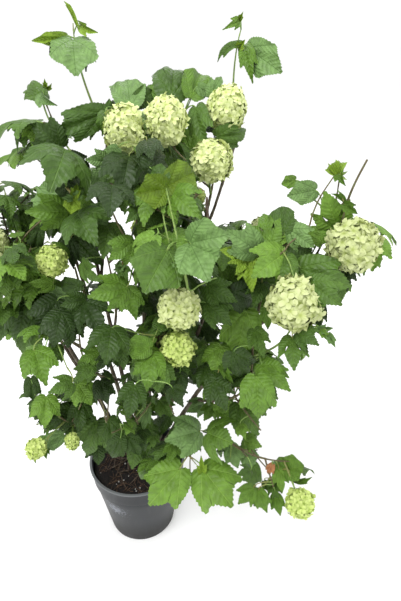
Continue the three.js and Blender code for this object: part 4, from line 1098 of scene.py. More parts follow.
class Foliage:
    """Every leaf grown so far, as arrays, so that a new one doesn't cut through them."""

    def __init__(self, most=4000):
        self.shown = np.zeros(most, bool)
        self.base, self.forward, self.across, self.up = (np.zeros((most, 3)) for _ in range(4))
        self.size = np.zeros(most)
        self.owner = np.zeros(most, int)
        self.count = 0
        self.more = []

    def add(self, leaf, owner, **more):
        i = self.count
        self.base[i], self.forward[i] = leaf.base, leaf.forward
        self.across[i], self.up[i] = leaf.across, leaf.up
        self.size[i], self.owner[i], self.shown[i] = leaf.size, owner, more.get("shown", False)
        self.more.append({"root": leaf.root, "way": leaf.way, **more})
        self.count += 1

    def hides_shown(self, points):
        """True if one of the points stands before a shown blade, as the eye sees it: where the line from
        the eye through the point meets the blade's plane, beyond the point and within the blade's
        outline."""
        pick = np.flatnonzero(self.shown)
        base, up, size = self.base[pick], self.up[pick], self.size[pick]
        to = points - EYE
        reach = np.sum((base - EYE) * up, -1) / (to @ up.T)
        meet = (EYE + to[:, None] * reach[..., None] - base) / size[:, None]
        x, y = np.sum(meet * self.forward[pick], -1), np.sum(meet * self.across[pick], -1)
        within = ((x - 0.45) / 0.5) ** 2 + (y / 0.38) ** 2 < 1
        return bool((within & (reach > 1.005)).any())

    def apart(self, leaf, owner, gap):
        """True if the blade's middle is far enough from the others of its own mass."""
        n = self.count
        middles = self.base[:n] + self.forward[:n] * 0.45 * self.size[:n, None]
        near = np.linalg.norm(middles - leaf.middle(), axis=-1) < gap * (self.size[:n] + leaf.size)
        return not (near & (self.owner[:n] == owner)).any()

    def crossed(self, leaf):
        """True if the blade's points lie on both sides of another blade, within its outline."""
        n = self.count
        reach = self.size[:n] + leaf.size
        near = np.linalg.norm(self.base[:n] - leaf.base, axis=-1) < reach
        if not near.any():
            return False
        to = (leaf.points()[None] - self.base[:n][near][:, None]) / self.size[:n][near][:, None, None]
        x, y, z = (np.sum(to * a[:n][near][:, None], -1) for a in (self.forward, self.across, self.up))
        within = ((x - 0.45) / 0.55) ** 2 + (y / 0.5) ** 2 < 1
        over = (within & (z > 0.0)).any(1)
        under = (within & (z < -0.06)).any(1)
        return bool((over & under).any() or (within & (abs(z + 0.03) < 0.03)).any())


def in_reach(points):
    """True inside the box of the solids."""
    low, high = (np.array(corner) * METRE for corner in cad_box)
    return bool((points > low - 2).all() and (points < high + 2).all())


EYE = np.array(CAMERA["place"], float)


def in_opening(points):
    """True if the line from the eye to one of the points passes through an opening of the crown."""
    reach = EYE[1] / (EYE[1] - points[:, 1])
    across, up = (EYE + (points - EYE) * reach[:, None])[:, [0, 2]].T
    x, z, radius = np.array(OPENINGS, float).T
    return bool((np.hypot(across[:, None] - x, (up[:, None] - z) * 0.86) < radius).any())


def leaf_for(mass, slot, number, space, foliage):
    """The first of a few turns and droops of one leaf that stays in its mass's space."""
    shoot, t, out, grown, droop, age = slot
    roll = dice(100000 + mass.index * 1000 + number + 40 * getattr(mass, "number", 0))
    for n in range(LEAF["tries"]):
        size = mass.leaf * grown * (0.82 + 0.3 * roll()) * (1, 0.8, 0.62)[(n > 7) + (n > 12)]
        turn = (roll() - 0.5) * min(2.8, 0.8 + 0.3 * n)
        low, high = droop
        lean = low + (high - low) * roll()
        leaf = leaf_on(shoot, t, out, size, turn, lean, (roll() - 0.5) * 0.7)
        if leaf.folded() or not foliage.apart(leaf, mass.index, mass.gap * (1 if age < 4 else 0.8)):
            continue
        points = leaf.points()
        if not in_reach(points) or not space.off_heads(points):
            continue
        if space.hides_head(points) or foliage.hides_shown(points):
            continue
        if not space.free(points, mass.index) or in_opening(leaf.rim()):
            continue
        if not foliage.crossed(leaf):
            return leaf
    return None


def grow_fine(mass, space):
    """Finer twigs between the pairs of a shoot, with a pair of small leaves half way and one at the tip."""
    shoots = [mass.leader, *mass.sides, *mass.blooms]
    for i, shoot in enumerate(shoots):
        for k, wanted in enumerate(pairs_of(shoot, 27, 0.06)):
            if shoot is mass.leader and mass.reach == 0:
                continue
            t = shoot.take(wanted)
            roll = dice(500000 + mass.index * 2000 + i * 40 + k)
            out = mass.pair_ways(shoot, t, roll() * 2 * math.pi)[0]
            length = (24 + 26 * roll()) * (1 - 0.3 * t)
            way = unit(out + shoot.way(t) * 0.6 + UP * 0.2)
            a = shoot.at(t)
            b = a + way * length
            twig = Shoot(a, (a + b) / 2 - UP * 0.08 * length, b, (1.5, 0.9), foot=t)
            marks = twig.at([0.5, 1])
            if not space.free(marks, mass.index) or not space.off_heads(marks, 8) or in_opening(marks):
                continue
            mass.fine.append(twig)
            mass.pair(twig, 1, roll() * 6, 0.62, (0.1, 1.0), 4)
            mass.pair(twig, 0.45, roll() * 6, 0.72, (0.4, 1.2), 4)


def grow_shrub():
    """Limbs, shoots and leaves, in the order of the source's rule."""
    limbs = grow_limbs()
    space = Space()
    for limb in limbs.values():
        space.add(limb, 6, sum(limb.thick) / 2, -1)
    masses = [Mass(i, name, limbs, space) for i, name in enumerate(MASSES)]
    space.close()
    for mass in masses:
        mass.grow_sides(space)
    for mass in masses:
        for side in mass.sides:
            space.add(side, 2, SHOOT["tip"], mass.index)
    space.close()
    foliage = Foliage()
    set_leaves(limbs, masses, foliage)
    for mass in masses:
        mass.find_slots()
    fill_slots(masses, space, foliage, 0)
    starts = [len(mass.slots) for mass in masses]
    for mass in masses:
        grow_fine(mass, space)
    fill_slots(masses, space, foliage, starts)
    fill_slots([Wood(i, limb) for i, limb in enumerate(limbs.values())], space, foliage, 0)
    bearing = {id(more["shoot"]) for more in foliage.more}
    for mass in masses:
        mass.fine = [twig for twig in mass.fine if id(twig) in bearing]
    return limbs, masses, foliage


class Wood:
    """The leaves that a limb bears itself, along its upper part, where it is nearer than any mass."""

    index = -1
    leaf = 66
    gap = 0.2

    def __init__(self, number, limb):
        self.number = number
        self.slots = []
        for k, t in enumerate(pairs_of(limb, 44, 0.3)):
            u, v = limb.frame(t)
            for out in (u, -u) if k % 2 else (v, -v):
                self.slots.append((limb, t, out, 1, (0.2, 1.1), 0))


def set_leaves(limbs, masses, foliage):
    """The leaves whose places are given, with a stalk from the nearest shoot, or a twig if that is far."""
    holds = [(s, m) for m in masses for s in [m.leader, *m.sides, *m.blooms]]
    holds += [(limb, None) for limb in limbs.values()]
    marks = np.linspace(0.05, 1, 20)
    places = np.array([s.at(marks) for s, _ in holds])
    for base, tip, width, turn, form, tint in SET_LEAVES:
        base, tip = np.array(base, float), np.array(tip, float)
        size = float(np.linalg.norm(tip - base))
        forward = (tip - base) / size
        face = squared(EYE - base, forward)
        up = face * math.cos(math.radians(turn)) + np.cross(forward, face) * math.sin(math.radians(turn))
        far = np.linalg.norm(places - base, axis=-1)
        i, k = np.unravel_index(far.argmin(), far.shape)
        shoot, mass = holds[i]
        root = places[i, k]
        if far.min() > 40 and mass:
            end = base + (root - base) * 24 / far.min()
            mid = (root + end) / 2 - UP * 0.06 * far.min()
            shoot = Shoot(root, mid, end, (1.6, 1.0), foot=marks[k])
            mass.fine.append(shoot)
            root = end
        way = unit(unit(base - root) - forward * 0.2 + UP * 0.3)
        leaf = Leaf(root, way, base, forward, up, size)
        more = {"tint": tint, "form": form, "width": width, "shown": tint != "dark" and size > 10}
        foliage.add(leaf, mass.index if mass else -1, shoot=shoot, age=1, **more)


def nearest_wood(limbs, masses, point):
    """The place on a limb, a leader or a shoot that is nearest to a point."""
    holds = [*limbs.values(), *(s for m in masses for s in [m.leader, *m.sides, *m.blooms])]
    places = np.concatenate([s.at(np.linspace(0.05, 1, 24)) for s in holds])
    return places[np.linalg.norm(places - point, axis=-1).argmin()]


def set_twigs(limbs, masses):
    """The twigs whose places are given, as (sort, radii, path): each starts on the nearest wood and runs
    on as a curve through its points, evenly spaced: a cubic between each two, with the slope of their
    neighbours."""
    made = []
    for sort, start, end, path in SET_TWIGS:
        path = np.array(path, float)
        if path[0, 2] > SOIL["top"]:
            path = np.concatenate([[nearest_wood(limbs, masses, path[0])], path])
        slope = np.gradient(path, axis=0)
        t = np.linspace(0, 1, 8)[:-1, None]
        parts = []
        for a, b, da, db in zip(path[:-1], path[1:], slope[:-1], slope[1:]):
            parts.append(
                a * (2 * t**3 - 3 * t**2 + 1)
                + da * (t**3 - 2 * t**2 + t)
                + b * (3 * t**2 - 2 * t**3)
                + db * (t**3 - t**2)
            )
        curve = np.concatenate([*parts, path[-1:]])
        share = np.linspace(0, 1, len(curve))
        radii = start + (end - start) * share
        if sort == "bud":
            radii = start + (end - start) * np.sin(np.pi * share**0.8) ** 0.7
        made.append((sort, curve, radii))
    return made


def fill_slots(masses, space, foliage, starts):
    """The masses take turns, one slot each, so that none takes all the room at a border."""
    starts = starts or [0] * len(masses)
    for i in range(max(len(m.slots) - s for m, s in zip(masses, starts))):
        for mass, start in zip(masses, starts):
            if start + i < len(mass.slots):
                slot = mass.slots[start + i]
                leaf = leaf_for(mass, slot, start + i, space, foliage)
                if leaf:
                    # Paler tints for leaves high in the crown and on the right: painted sunlight.
                    sun = 0.2 * min(1, max(0, (leaf.base[2] - 650) / 400))
                    sun += 0.2 if leaf.base[0] > 230 else 0
                    foliage.add(leaf, mass.index, shoot=slot[0], age=slot[5], sun=sun - 0.05)


# The left half of a blade's outline from its stalk to its tip, as shares of the blade's length along and
# across: the foot, the side lobe's outer edge and tip, the bay, and the middle lobe. Between each two
# points stands a tooth.
EDGE = (
    (-0.02, 0.03), (-0.08, 0.11), (-0.09, 0.19), (-0.05, 0.265), (0, 0.325), (0.06, 0.375),
    (0.13, 0.415), (0.205, 0.445), (0.285, 0.47), (0.37, 0.485), (0.455, 0.49), (0.55, 0.5),
    (0.67, 0.515), (0.64, 0.43), (0.625, 0.345), (0.585, 0.235), (0.665, 0.25), (0.735, 0.235),
    (0.8, 0.185), (0.865, 0.13), (0.925, 0.07), (1, 0),
)
BAY = slice(13, 17)  # the points of the bay between the side lobe and the middle one
ROUND = slice(12, 22)  # the points from the side lobe's tip to the blade's tip
TOOTH = {"height": 0.3, "lean": 0.12}  # as shares of the distance between the two points beside it
RINGS = (0.38, 0.74)
CHART = (0.15, 0.65, 1.3)  # a blade's chart: along + 0.15 and across + 0.65, over 1.3


def blade_pattern(bay):
    """A flat blade: its outline drawn in towards the stalk at two shares, in a fan and a band, and the
    toothed edge outside them, three triangles to each tooth.

    bay moves the notch between the lobes: more than 1 is a shallower one, and 0 a rounder blade without
    any."""
    left = np.array(EDGE)
    if bay:
        left[BAY] *= bay
    else:
        share = np.linspace(0, 1, ROUND.stop - ROUND.start)
        (along, side), tip = left[ROUND][0], left[-1][0]
        left[ROUND] = np.stack([along + (tip - along) * share, side * (1 - share) ** 0.8], -1)
    outline = np.concatenate([left, left[-2::-1] * (1, -1)])
    number = len(outline)
    step = np.diff(outline, axis=0)
    lean = TOOTH["lean"] * np.sign(number / 2 - 1 - np.arange(number - 1))
    teeth = outline[:-1] + step * (0.5 + lean)[:, None]
    teeth += np.stack([-step[:, 1], step[:, 0]], -1) * TOOTH["height"]
    edge = np.zeros((2 * number - 1, 2))
    edge[::2], edge[1::2] = outline, teeth
    flat = np.concatenate([[(0, 0)], *(outline * r for r in RINGS), edge])
    i = np.arange(number - 1)
    inner, outer = 1 + i, 1 + number + i
    rim = 1 + 2 * number + 2 * i
    fan = np.stack([0 * i, inner + 1, inner], -1)
    band = np.stack([inner, inner + 1, outer + 1, outer], -1)
    toothed = np.concatenate(
        [
            np.stack([outer, rim + 1, rim], -1),
            np.stack([outer, outer + 1, rim + 1], -1),
            np.stack([outer + 1, rim + 2, rim + 1], -1),
        ]
    )
    charts = (flat + CHART[:2]) / CHART[2]
    return flat, [fan, band, toothed], charts


def bent_blades(flat, base, forward, across, up, size, form):
    """Blades in place: along x and across y, raised by fold |y| - sag y^2 + arch x (1 - x), by a bulge
    between the main veins, r (1 - cos(9.24 turn)), and by a wave that grows towards the edge; the far
    edge curls down."""
    x, y = flat[:, 0][None], flat[:, 1][None] * form["width"][:, None]
    names = ("fold", "sag", "arch", "wave", "phase", "curl")
    fold, sag, arch, wave, phase, curl = (form[name][:, None] for name in names)
    far, turn = np.hypot(x, y), np.arctan2(abs(flat[:, 1]), flat[:, 0] + 1e-9)[None]
    rise = fold * abs(y) - sag * y**2 + arch * x * (1 - x) + 0.03 * far * (1 - np.cos(9.24 * turn))
    ripple = np.sin(7 * turn * np.sign(y) + phase) + 0.6 * np.sin(17 * turn - 2 * phase)
    rise = rise + wave * far**2 * ripple
    rise = rise - curl * np.maximum(0, far - 0.5) ** 2
    place = forward[:, None] * x[..., None] + across[:, None] * y[..., None] + up[:, None] * rise[..., None]
    return base[:, None] + place * size[:, None, None]


def stalk_paths(roots, ways, base, forward, size, marks=6):
    """Stalks: quadratic curves from the shoot to a little way along the blade, drawn the stalk's way."""
    t = np.linspace(0, 1, marks)[None, :, None]
    end = base + forward * (0.06 * size)[:, None]
    length = np.linalg.norm(base - roots, axis=-1, keepdims=True)
    mid = roots + ways * length * 0.9
    return roots[:, None] * (1 - t) ** 2 + mid[:, None] * 2 * t * (1 - t) + end[:, None] * t * t


# ---------- blossom ----------
PETALS = 5
FLORET = {"steps": 20, "waist": 0.56, "share": 0.172}


def floret_pattern(rng):
    """A floret of five petals: radius waist + (1 - waist) |cos(2.5 turn)|^0.6 in a fan and one band.

    Its petals rise from the middle and roll back at their edges, each by its own amount. The chart is the
    floret seen from above."""
    steps = FLORET["steps"]
    turn = 2 * np.pi * np.arange(steps) / steps
    petal = ((turn * PETALS / (2 * np.pi) + 0.5) % PETALS).astype(int)
    radius = FLORET["waist"] + (1 - FLORET["waist"]) * abs(np.cos(PETALS / 2 * turn)) ** 0.6
    radius = radius * rng.uniform(0.86, 1.08, PETALS)[petal]
    rolls, twists = rng.normal(-0.02, 0.14, PETALS)[petal], rng.normal(0, 0.13, PETALS)[petal]
    rows = [(0.55, 0.13), (1.0, 0.1)]
    points = [(0, 0, 0)]
    charts = [(0.5, 0.5)]
    for share, rise in rows:
        r = radius * share
        lift = rise + (rolls + twists * np.sin(PETALS * turn)) * share**2
        points += list(np.stack([r * np.cos(turn), r * np.sin(turn), lift], -1))
        charts += list(np.stack([0.5 + 0.48 * r * np.cos(turn), 0.5 + 0.48 * r * np.sin(turn)], -1))
    i = np.arange(steps)
    n = (i + 1) % steps
    fan = np.stack([0 * i, 1 + i, 1 + n], -1)
    band = np.stack([1 + i, 1 + steps + i, 1 + steps + n, 1 + n], -1)
    return np.array(points), [fan, band], np.array(charts)


def snowball(heap, head, size, rng, number, depth, wide):
    """Florets on a ball of a depth: places by the golden angle, each tilted a little by chance."""
    k = np.arange(number) + 0.5
    z = 1 - 2 * k / number
    turn = k * math.pi * (3 - math.sqrt(5))
    flat = np.sqrt(1 - z * z)
    out = np.stack([flat * np.cos(turn), flat * np.sin(turn), z], -1)
    out = unit(out @ turned_by(rng) + rng.normal(0, 0.05, out.shape))
    face = unit(out * (1, 1, 1 / head.tall) + rng.normal(0, 0.2, out.shape))
    guide = np.where(abs(face[:, 2:]) < 0.9, [0, 0, 1.0], [1.0, 0, 0])
    u = squared(guide, face)
    spin = rng.uniform(0, 2 * np.pi, (number, 1))
    u = u * np.cos(spin) + np.cross(face, u) * np.sin(spin)
    v = np.cross(face, u)
    wide = wide * rng.uniform(0.86, 1.14, number)
    depth = depth - 0.2 * wide - rng.uniform(0, 0.04, number) * size
    for k in range(6):
        pattern, faces, charts = floret_pattern(rng)
        x, y, z = pattern.T[:, None, :, None]
        own = slice(k, None, 6)
        place = u[own, None] * x + v[own, None] * y + face[own, None] * z
        out_to = out[own, None] * depth[own, None, None] * (1, 1, head.tall)
        heap.put_many(head.centre + out_to + place * wide[own, None, None], faces, charts)


def turned_by(rng):
    """A turn by chance, as three directions square to each other."""
    return np.linalg.qr(rng.normal(0, 1, (3, 3)))[0]


def lump(centre, radius, rows=9, columns=14, bumps=0.05):
    """A ball with low bumps: radius (1 + bumps sin 7a cos 5b), closed by a fan at each pole."""
    a = np.pi * (np.arange(rows) + 0.5) / rows
    b = 2 * np.pi * np.arange(columns) / columns
    a, b = np.meshgrid(a, b, indexing="ij")
    r = radius * (1 + bumps * np.sin(7 * a) * np.cos(5 * b))
    ring = [r * np.sin(a) * np.cos(b), r * np.sin(a) * np.sin(b), r * np.cos(a)]
    ring = np.stack(ring, -1).reshape(-1, 3)
    points = np.concatenate([ring, [(0, 0, radius), (0, 0, -radius)]]) + centre
    i = np.arange(columns)
    n = (i + 1) % columns
    top, low = rows * columns, rows * columns + 1
    start = (rows - 1) * columns
    caps = [np.stack([0 * i + top, i, n], -1), np.stack([0 * i + low, start + n, start + i], -1)]
    caps = np.concatenate(caps)
    return points, [grid_faces(rows, columns)[:, ::-1][:, [3, 0, 1, 2]], caps]


# ---------- wood ----------
def limb_points(limb, foot, rng, sides=16, step=6.0):
    """A limb's bark on rings step mm apart along its curve.

    The radius runs from one end's to the other's, times 1 + 0.4 (1 - s / 24)^2 at a foot in the compost,
    plus a swelling at each node and ridges that wind along: a sin(5 turn + s / 30) + b sin(9 turn - s /
    17)."""
    rows = max(8, int(limb.length / step))
    t = np.linspace(0, 1, rows)
    s = t * limb.length
    r0, r1 = limb.thick
    radius = r0 + (r1 - r0) * t
    if foot:
        radius *= 1 + 0.45 * np.maximum(0, 1 - s / 24) ** 2
    for node in np.arange(30 + rng.uniform(0, 30), limb.length - 8, 52):
        radius += 0.2 * r1 * np.exp(-(((s - node - rng.uniform(-8, 8)) / 3.2) ** 2))
    turn = 2 * np.pi * np.arange(sides) / sides
    s, turn = s[:, None], turn[None]
    a, b, c = rng.uniform(0, 6, 3)
    ridges = 0.5 * np.sin(5 * turn + s / 30 + a) + 0.35 * np.sin(3 * turn - s / 17 + b)
    ridges = ridges + 0.3 * np.sin(7 * turn + s / 11 + c) * np.sin(s / 7 + a)
    radius = radius[:, None] * (1 + 0.02 * np.sin(s / 21 + b)) + LIMB_RELIEF * ridges * radius[:, None] / 5
    sway = rng.normal(0, 0.5, (rows, 3))
    sway = np.cumsum(sway - sway.mean(0), 0) * (np.sin(np.pi * t) ** 0.5)[:, None] * 0.35
    path = limb.at(t) + sway
    if foot:
        path[0, 2] -= 4
    return tubes(path[None], radius[None], sides)


def limb_pieces(limbs, paint):
    """The stems, which stand in the compost, and the boughs, which leave them."""
    rng = np.random.default_rng(11)
    for name, stems in (("stems_bark", True), ("boughs_bark", False)):
        heap = Heap()
        nodes = []
        for node, limb in limbs.items():
            if (LIMBS[node][0] is None) == stems:
                points, faces, charts = limb_points(limb, stems, rng)
                heap.put(points[0], faces, charts)
                nodes.append(node)
        made = heap.piece(name, paint)
        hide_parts(*nodes)


def shoot_radii(shoot, rows, tip):
    """A shoot's radius at each ring: evenly less, with a swelling at each node that bears a pair."""
    t = np.linspace(0, 1, rows)
    radius = shoot.thick[0] + (tip - shoot.thick[0]) * t**0.8
    for node in shoot.taken:
        radius = radius + 0.35 * radius * np.exp(-(((t - node) * shoot.length / 2.4) ** 2))
    return radius


def shoot_pieces(masses, twigs, wood, green, dry):
    """Leaders and side shoots, the finer green shoots and the stalks of the blossom, and dry twigs."""
    sorts = {"leaders_bark": ([], wood, "wood"), "shoots_green": ([], green, "green")}
    sorts["twigs_dry"] = ([], dry, "dry")
    for mass in masses:
        young = mass.bare > 0.5
        sorts["shoots_green" if young else "leaders_bark"][0].append((mass.leader, 48, 0.9))
        sorts["leaders_bark"][0].extend((s, 16, 1.0) for s in mass.sides)
        sorts["shoots_green"][0].extend((s, 16, 1.3) for s in mass.blooms)
        sorts["shoots_green"][0].extend((s, 10, 0.8) for s in mass.fine)
    made = []
    for name, (shoots, paint, sort) in sorts.items():
        heap = Heap()
        for own, curve, radii in twigs:
            if own == sort or (own, sort) == ("bud", "dry"):
                points, faces, charts = tubes(curve[None], radii[None], 7)
                heap.put(points[0], faces, charts)
        for shoot, rows, tip in shoots:
            radii = shoot_radii(shoot, rows, tip)
            points, faces, charts = tubes(shoot.at(np.linspace(0, 1, rows))[None], radii[None], 7)
            heap.put(points[0], faces, charts)
        made.append(heap.piece(name, paint))
    return made


# ---------- foliage pieces ----------
FORMS = {
    "arched": {"fold": 0.2, "sag": 0.95, "arch": 0.45, "curl": 0.6},
    "cupped": {"fold": 0.35, "sag": 0.3, "arch": 0.15, "curl": 0.1},
    "round": {"fold": 0.25, "sag": 0.5, "arch": 0.3, "curl": 0.3},
    "closed": {"fold": 1.3, "sag": 0.5, "arch": 0.35, "curl": 0.2},
    "curled": {"fold": 0.2, "sag": 1.1, "arch": 0.6, "curl": 1.3},
    "cut": {"fold": 0.2, "sag": 0.8, "arch": 0.35, "curl": 0.4},
}
# The green tints are partly the leaves' own colours and partly painted light and shade: dark, deep and
# shade are darker copies for blades lying in shade among the others, and light is a paler copy for lit
# blades.
TINTS = {  # a blade's colour and its veins' colour, as seen from 0 to 255
    "rust": ((188, 128, 84), (204, 156, 114)),
    "dark": ((44, 66, 24), (62, 86, 38)),
    "deep": ((54, 80, 26), (78, 106, 42)),
    "shade": ((68, 98, 34), (94, 126, 52)),
    "mid": ((80, 112, 40), (108, 142, 60)),
    "fresh": ((94, 130, 42), (124, 160, 66)),
    "light": ((110, 148, 52), (142, 178, 80)),
    # cool is a paler grey-green for lit blades, a painted sheen, with veins darker than the blade, painted
    # shade along the sunk veins.
    "cool": ((114, 148, 82), (96, 128, 68)),
    "olive": ((96, 124, 26), (126, 150, 46)),
    "young": ((138, 172, 52), (168, 196, 84)),
}


def tint_of(more, roll):
    """The tint of a leaf, by its age, by its shoot's own roll, and paler high up and on the right: painted
    sunlight.
    """
    own, each = roll
    own = own + more.get("sun", 0)
    age = more["age"]
    if "tint" in more:
        return more["tint"]
    draw = 0.7 * own + 0.3 * each
    if age == 2:
        return ("mid", "mid", "fresh", "light")[min(3, int(draw * 4.2))]
    if age == 4:
        return ("shade", "mid", "fresh", "light")[min(3, int(draw * 4.2))]
    return ("deep", "shade", "mid", "mid", "fresh")[min(4, int(draw * 5))]


def leaf_pieces(foliage, paints, stalk_paint, nodes):
    rng = np.random.default_rng(5)
    n = foliage.count
    base, forward, across, up = (a[:n] for a in (foliage.base, foliage.forward, foliage.across, foliage.up))
    size = foliage.size[:n]
    own = {}
    rolls = [(own.setdefault(id(m["shoot"]), rng.uniform()), rng.uniform()) for m in foliage.more]
    tints = np.array([tint_of(m, r) for m, r in zip(foliage.more, rolls)])
    young = tints == "young"
    form = {
        "fold": np.where(young, rng.uniform(0.25, 0.6, n), rng.uniform(-0.05, 0.22, n)),
        "sag": rng.uniform(0.25, 1.0, n),
        "arch": rng.uniform(0.1, 0.55, n),
        "wave": rng.uniform(0.012, 0.04, n),
        "phase": rng.uniform(0, 2 * np.pi, n),
        "width": np.where(young, rng.uniform(0.6, 0.85, n), rng.uniform(0.8, 1.0, n)),
        "curl": rng.uniform(0.0, 0.9, n),
    }
    shapes = rng.integers(0, 4, n)
    for i, more in enumerate(foliage.more):
        if "form" in more:
            form["width"][i] = more["width"] * 0.86
            shapes[i] = {"cut": 4, "cupped": 5, "round": 5}.get(more["form"], 1 + i % 3)
            for key, value in FORMS[more["form"]].items():
                form[key][i] = value * rng.uniform(0.7, 1.3)
    patterns = [blade_pattern(bay) for bay in (0.84, 0.94, 1.04, 1.14, 0.6, 0)]
    for tint, paint in paints.items():
        heap = Heap()
        for k, (flat, faces, charts) in enumerate(patterns):
            pick = (tints == tint) & (shapes == k)
            if pick.any():
                own_form = {key: value[pick] for key, value in form.items()}
                placed = (a[pick] for a in (base, forward, across, up, size))
                points = bent_blades(flat, *placed, own_form)
                heap.put_many(points, faces, charts)
        made = heap.piece("leaves_" + tint, paint)
        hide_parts(*nodes)
    roots = np.array([m["root"] for m in foliage.more])
    ways = np.array([m["way"] for m in foliage.more])
    paths = stalk_paths(roots, ways, base, forward, size)
    thick = 0.75 + 0.5 * size / 90
    radii = thick[:, None] * np.array([1.35, 1.0, 0.9, 0.85, 0.8, 0.45])
    heap = Heap()
    heap.put_many(*tubes(paths, radii, 5))
    heap.piece("leaf_stalks", stalk_paint)


def blossom_pieces(masses, cream, pale, lime, core):
    rng = np.random.default_rng(3)
    heaps = {"blossom_painted_shade": Heap(), "blossom_painted_light": Heap(), "blossom_lime": Heap()}
    cores = Heap()
    for mass in masses:
        for shoot in mass.blooms:
            size = shoot.size
            outer, inner = (92, 60) if size > 58 else (76, 46) if size > 40 else (48, 26)
            # Big heads on the right take the darker copy of the cream petals, painted shade, and the others
            # the paler copy, painted light.
            full = "blossom_painted_shade" if shoot.centre[0] > 200 else "blossom_painted_light"
            heap = heaps[full if size > 58 else "blossom_lime"]
            wide = size * FLORET["share"] * math.sqrt(84 / outer)
            snowball(heap, shoot, size, rng, outer, size / 2, wide)
            snowball(heap, shoot, size, rng, inner, size * 0.44, wide * 1.1)
            points, faces = lump(shoot.centre, size * 0.4)
            points[:, 2] = shoot.centre[2] + (points[:, 2] - shoot.centre[2]) * shoot.tall
            cores.put(points, faces)
    for (name, heap), paint in zip(heaps.items(), (cream, pale, lime)):
        heap.piece(name, paint)
    cores.piece("blossom_hearts", core)


# ---------- pot and compost ----------
def inner_radius(z):
    return POT["foot"] + (POT["body_top"] - POT["foot"]) * min(1, z / POT["shoulder"]) - POT["wall"]


def turned_piece(name, profile, paint, sides):
    """A turned solid: a profile of radius and height carried round the upright axis, with closed ends."""
    profile = np.array(profile, float)
    turn = 2 * np.pi * np.arange(sides) / sides
    r, z = profile[1:-1, :1], profile[1:-1, 1:]
    ring = np.stack([r * np.cos(turn), r * np.sin(turn), z + 0 * turn], -1).reshape(-1, 3)
    count = len(profile) - 2
    points = np.concatenate([ring, [(0, 0, profile[0, 1]), (0, 0, profile[-1, 1])]])
    i = np.arange(sides)
    n = (i + 1) % sides
    start = (count - 1) * sides
    low = np.stack([0 * i + count * sides, n, i], -1)
    top = np.stack([0 * i + count * sides + 1, start + i, start + n], -1)
    heap = Heap()
    heap.put(points, [grid_faces(count, sides), np.concatenate([low, top])])
    return heap.piece(name, paint)


def arc(centre, radius, start, end, steps=5):
    """Points of radius and height on an arc, its angles in degrees from the outward level."""
    a = np.radians(np.linspace(start, end, steps))
    return list(np.stack([centre[0] + radius * np.cos(a), centre[1] + radius * np.sin(a)], -1))


def pot_piece(paint):
    """The pot's wall, floor, collar and rolled lip, with four drain holes cut through the floor."""
    foot, body, band, rim = (POT[k] for k in ("foot", "body_top", "band", "rim"))
    height, shoulder, wall, lip = (POT[k] for k in ("height", "shoulder", "wall", "lip"))
    body_marks = [(foot + (body - foot) * k / 8, 3 + (shoulder - 4) * k / 8) for k in range(1, 9)]
    profile = [
        (0, 0),
        (foot - 12, 0),
        *arc((foot - 3, 3), 3, -90, -5),
        *body_marks[:-1],
        (body - 0.3, shoulder - 1.6),
        (body - 0.6, shoulder - 0.2),
        (body + 0.6, shoulder + 0.8),
        *arc((band - 1.2, shoulder + 2), 1.2, -60, 5, 4),
        (band + 0.6, shoulder + 14),
        (band + 1.4, height - lip - 3),
        (band + 1.8, height - lip - 0.4),
        *arc((rim - 1.2, height - lip + 1.4), 1.2, -90, 0, 4),
        *arc((rim - 1.6, height - 1.6), 1.6, 0, 90),
        *arc((band - wall + 2.6, height - 1.2), 1.2, 90, 180),
        (band - wall, shoulder + 8),
        (inner_radius(shoulder), shoulder),
        (inner_radius(90), 90),
        (inner_radius(6), 6),
        (inner_radius(3) - 3, 3),
        (40, 3),
        (0, 3),
    ]
    pot = turned_piece("pot_round", profile, paint, 128)
    cutters = []
    for k in range(4):
        a = math.pi / 2 * (k + 0.5)
        place = (POT["drain_ring"] * math.cos(a), POT["drain_ring"] * math.sin(a))
        r = POT["drain"]
        heap = Heap()
        turn = 2 * np.pi * np.arange(24) / 24
        across, along = place[0] + r * np.cos(turn), place[1] + r * np.sin(turn)
        low, high = (np.stack([across, along, z + 0 * turn], -1) for z in (-5, 9))
        ends = np.stack([np.arange(24)[::-1], 24 + np.arange(24)])
        heap.put(np.concatenate([low, high]), [grid_faces(2, 24), ends])
        cutters.append(heap.piece(f"drain_{k}", paint))
        cut = pot.modifiers.new("drain", "BOOLEAN")
        cut.operation = "DIFFERENCE"
        cut.object = cutters[-1]
        cut.solver = "EXACT"
    shape = bpy.data.meshes.new_from_object(pot.evaluated_get(bpy.context.evaluated_depsgraph_get()))
    pot.modifiers.clear()
    pot.data = shape
    for cutter in cutters:
        bpy.data.objects.remove(cutter)
    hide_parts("pot")


def soil_height(x, y, crumbs):
    """The compost's height: level at the middle, lower at the edge, with a bump for each crumb."""
    place, tall, wide = crumbs
    radius = np.hypot(x, y)
    edge = np.clip((radius - SOIL["flat"]) / (inner_radius(SOIL["top"]) - SOIL["flat"]), 0, 1)
    height = SOIL["top"] - SOIL["edge_drop"] * edge
    far = (x[..., None] - place[:, 0]) ** 2 + (y[..., None] - place[:, 1]) ** 2
    return height + np.sum(tall * np.exp(-far / (2 * wide**2)), -1) - 1.2


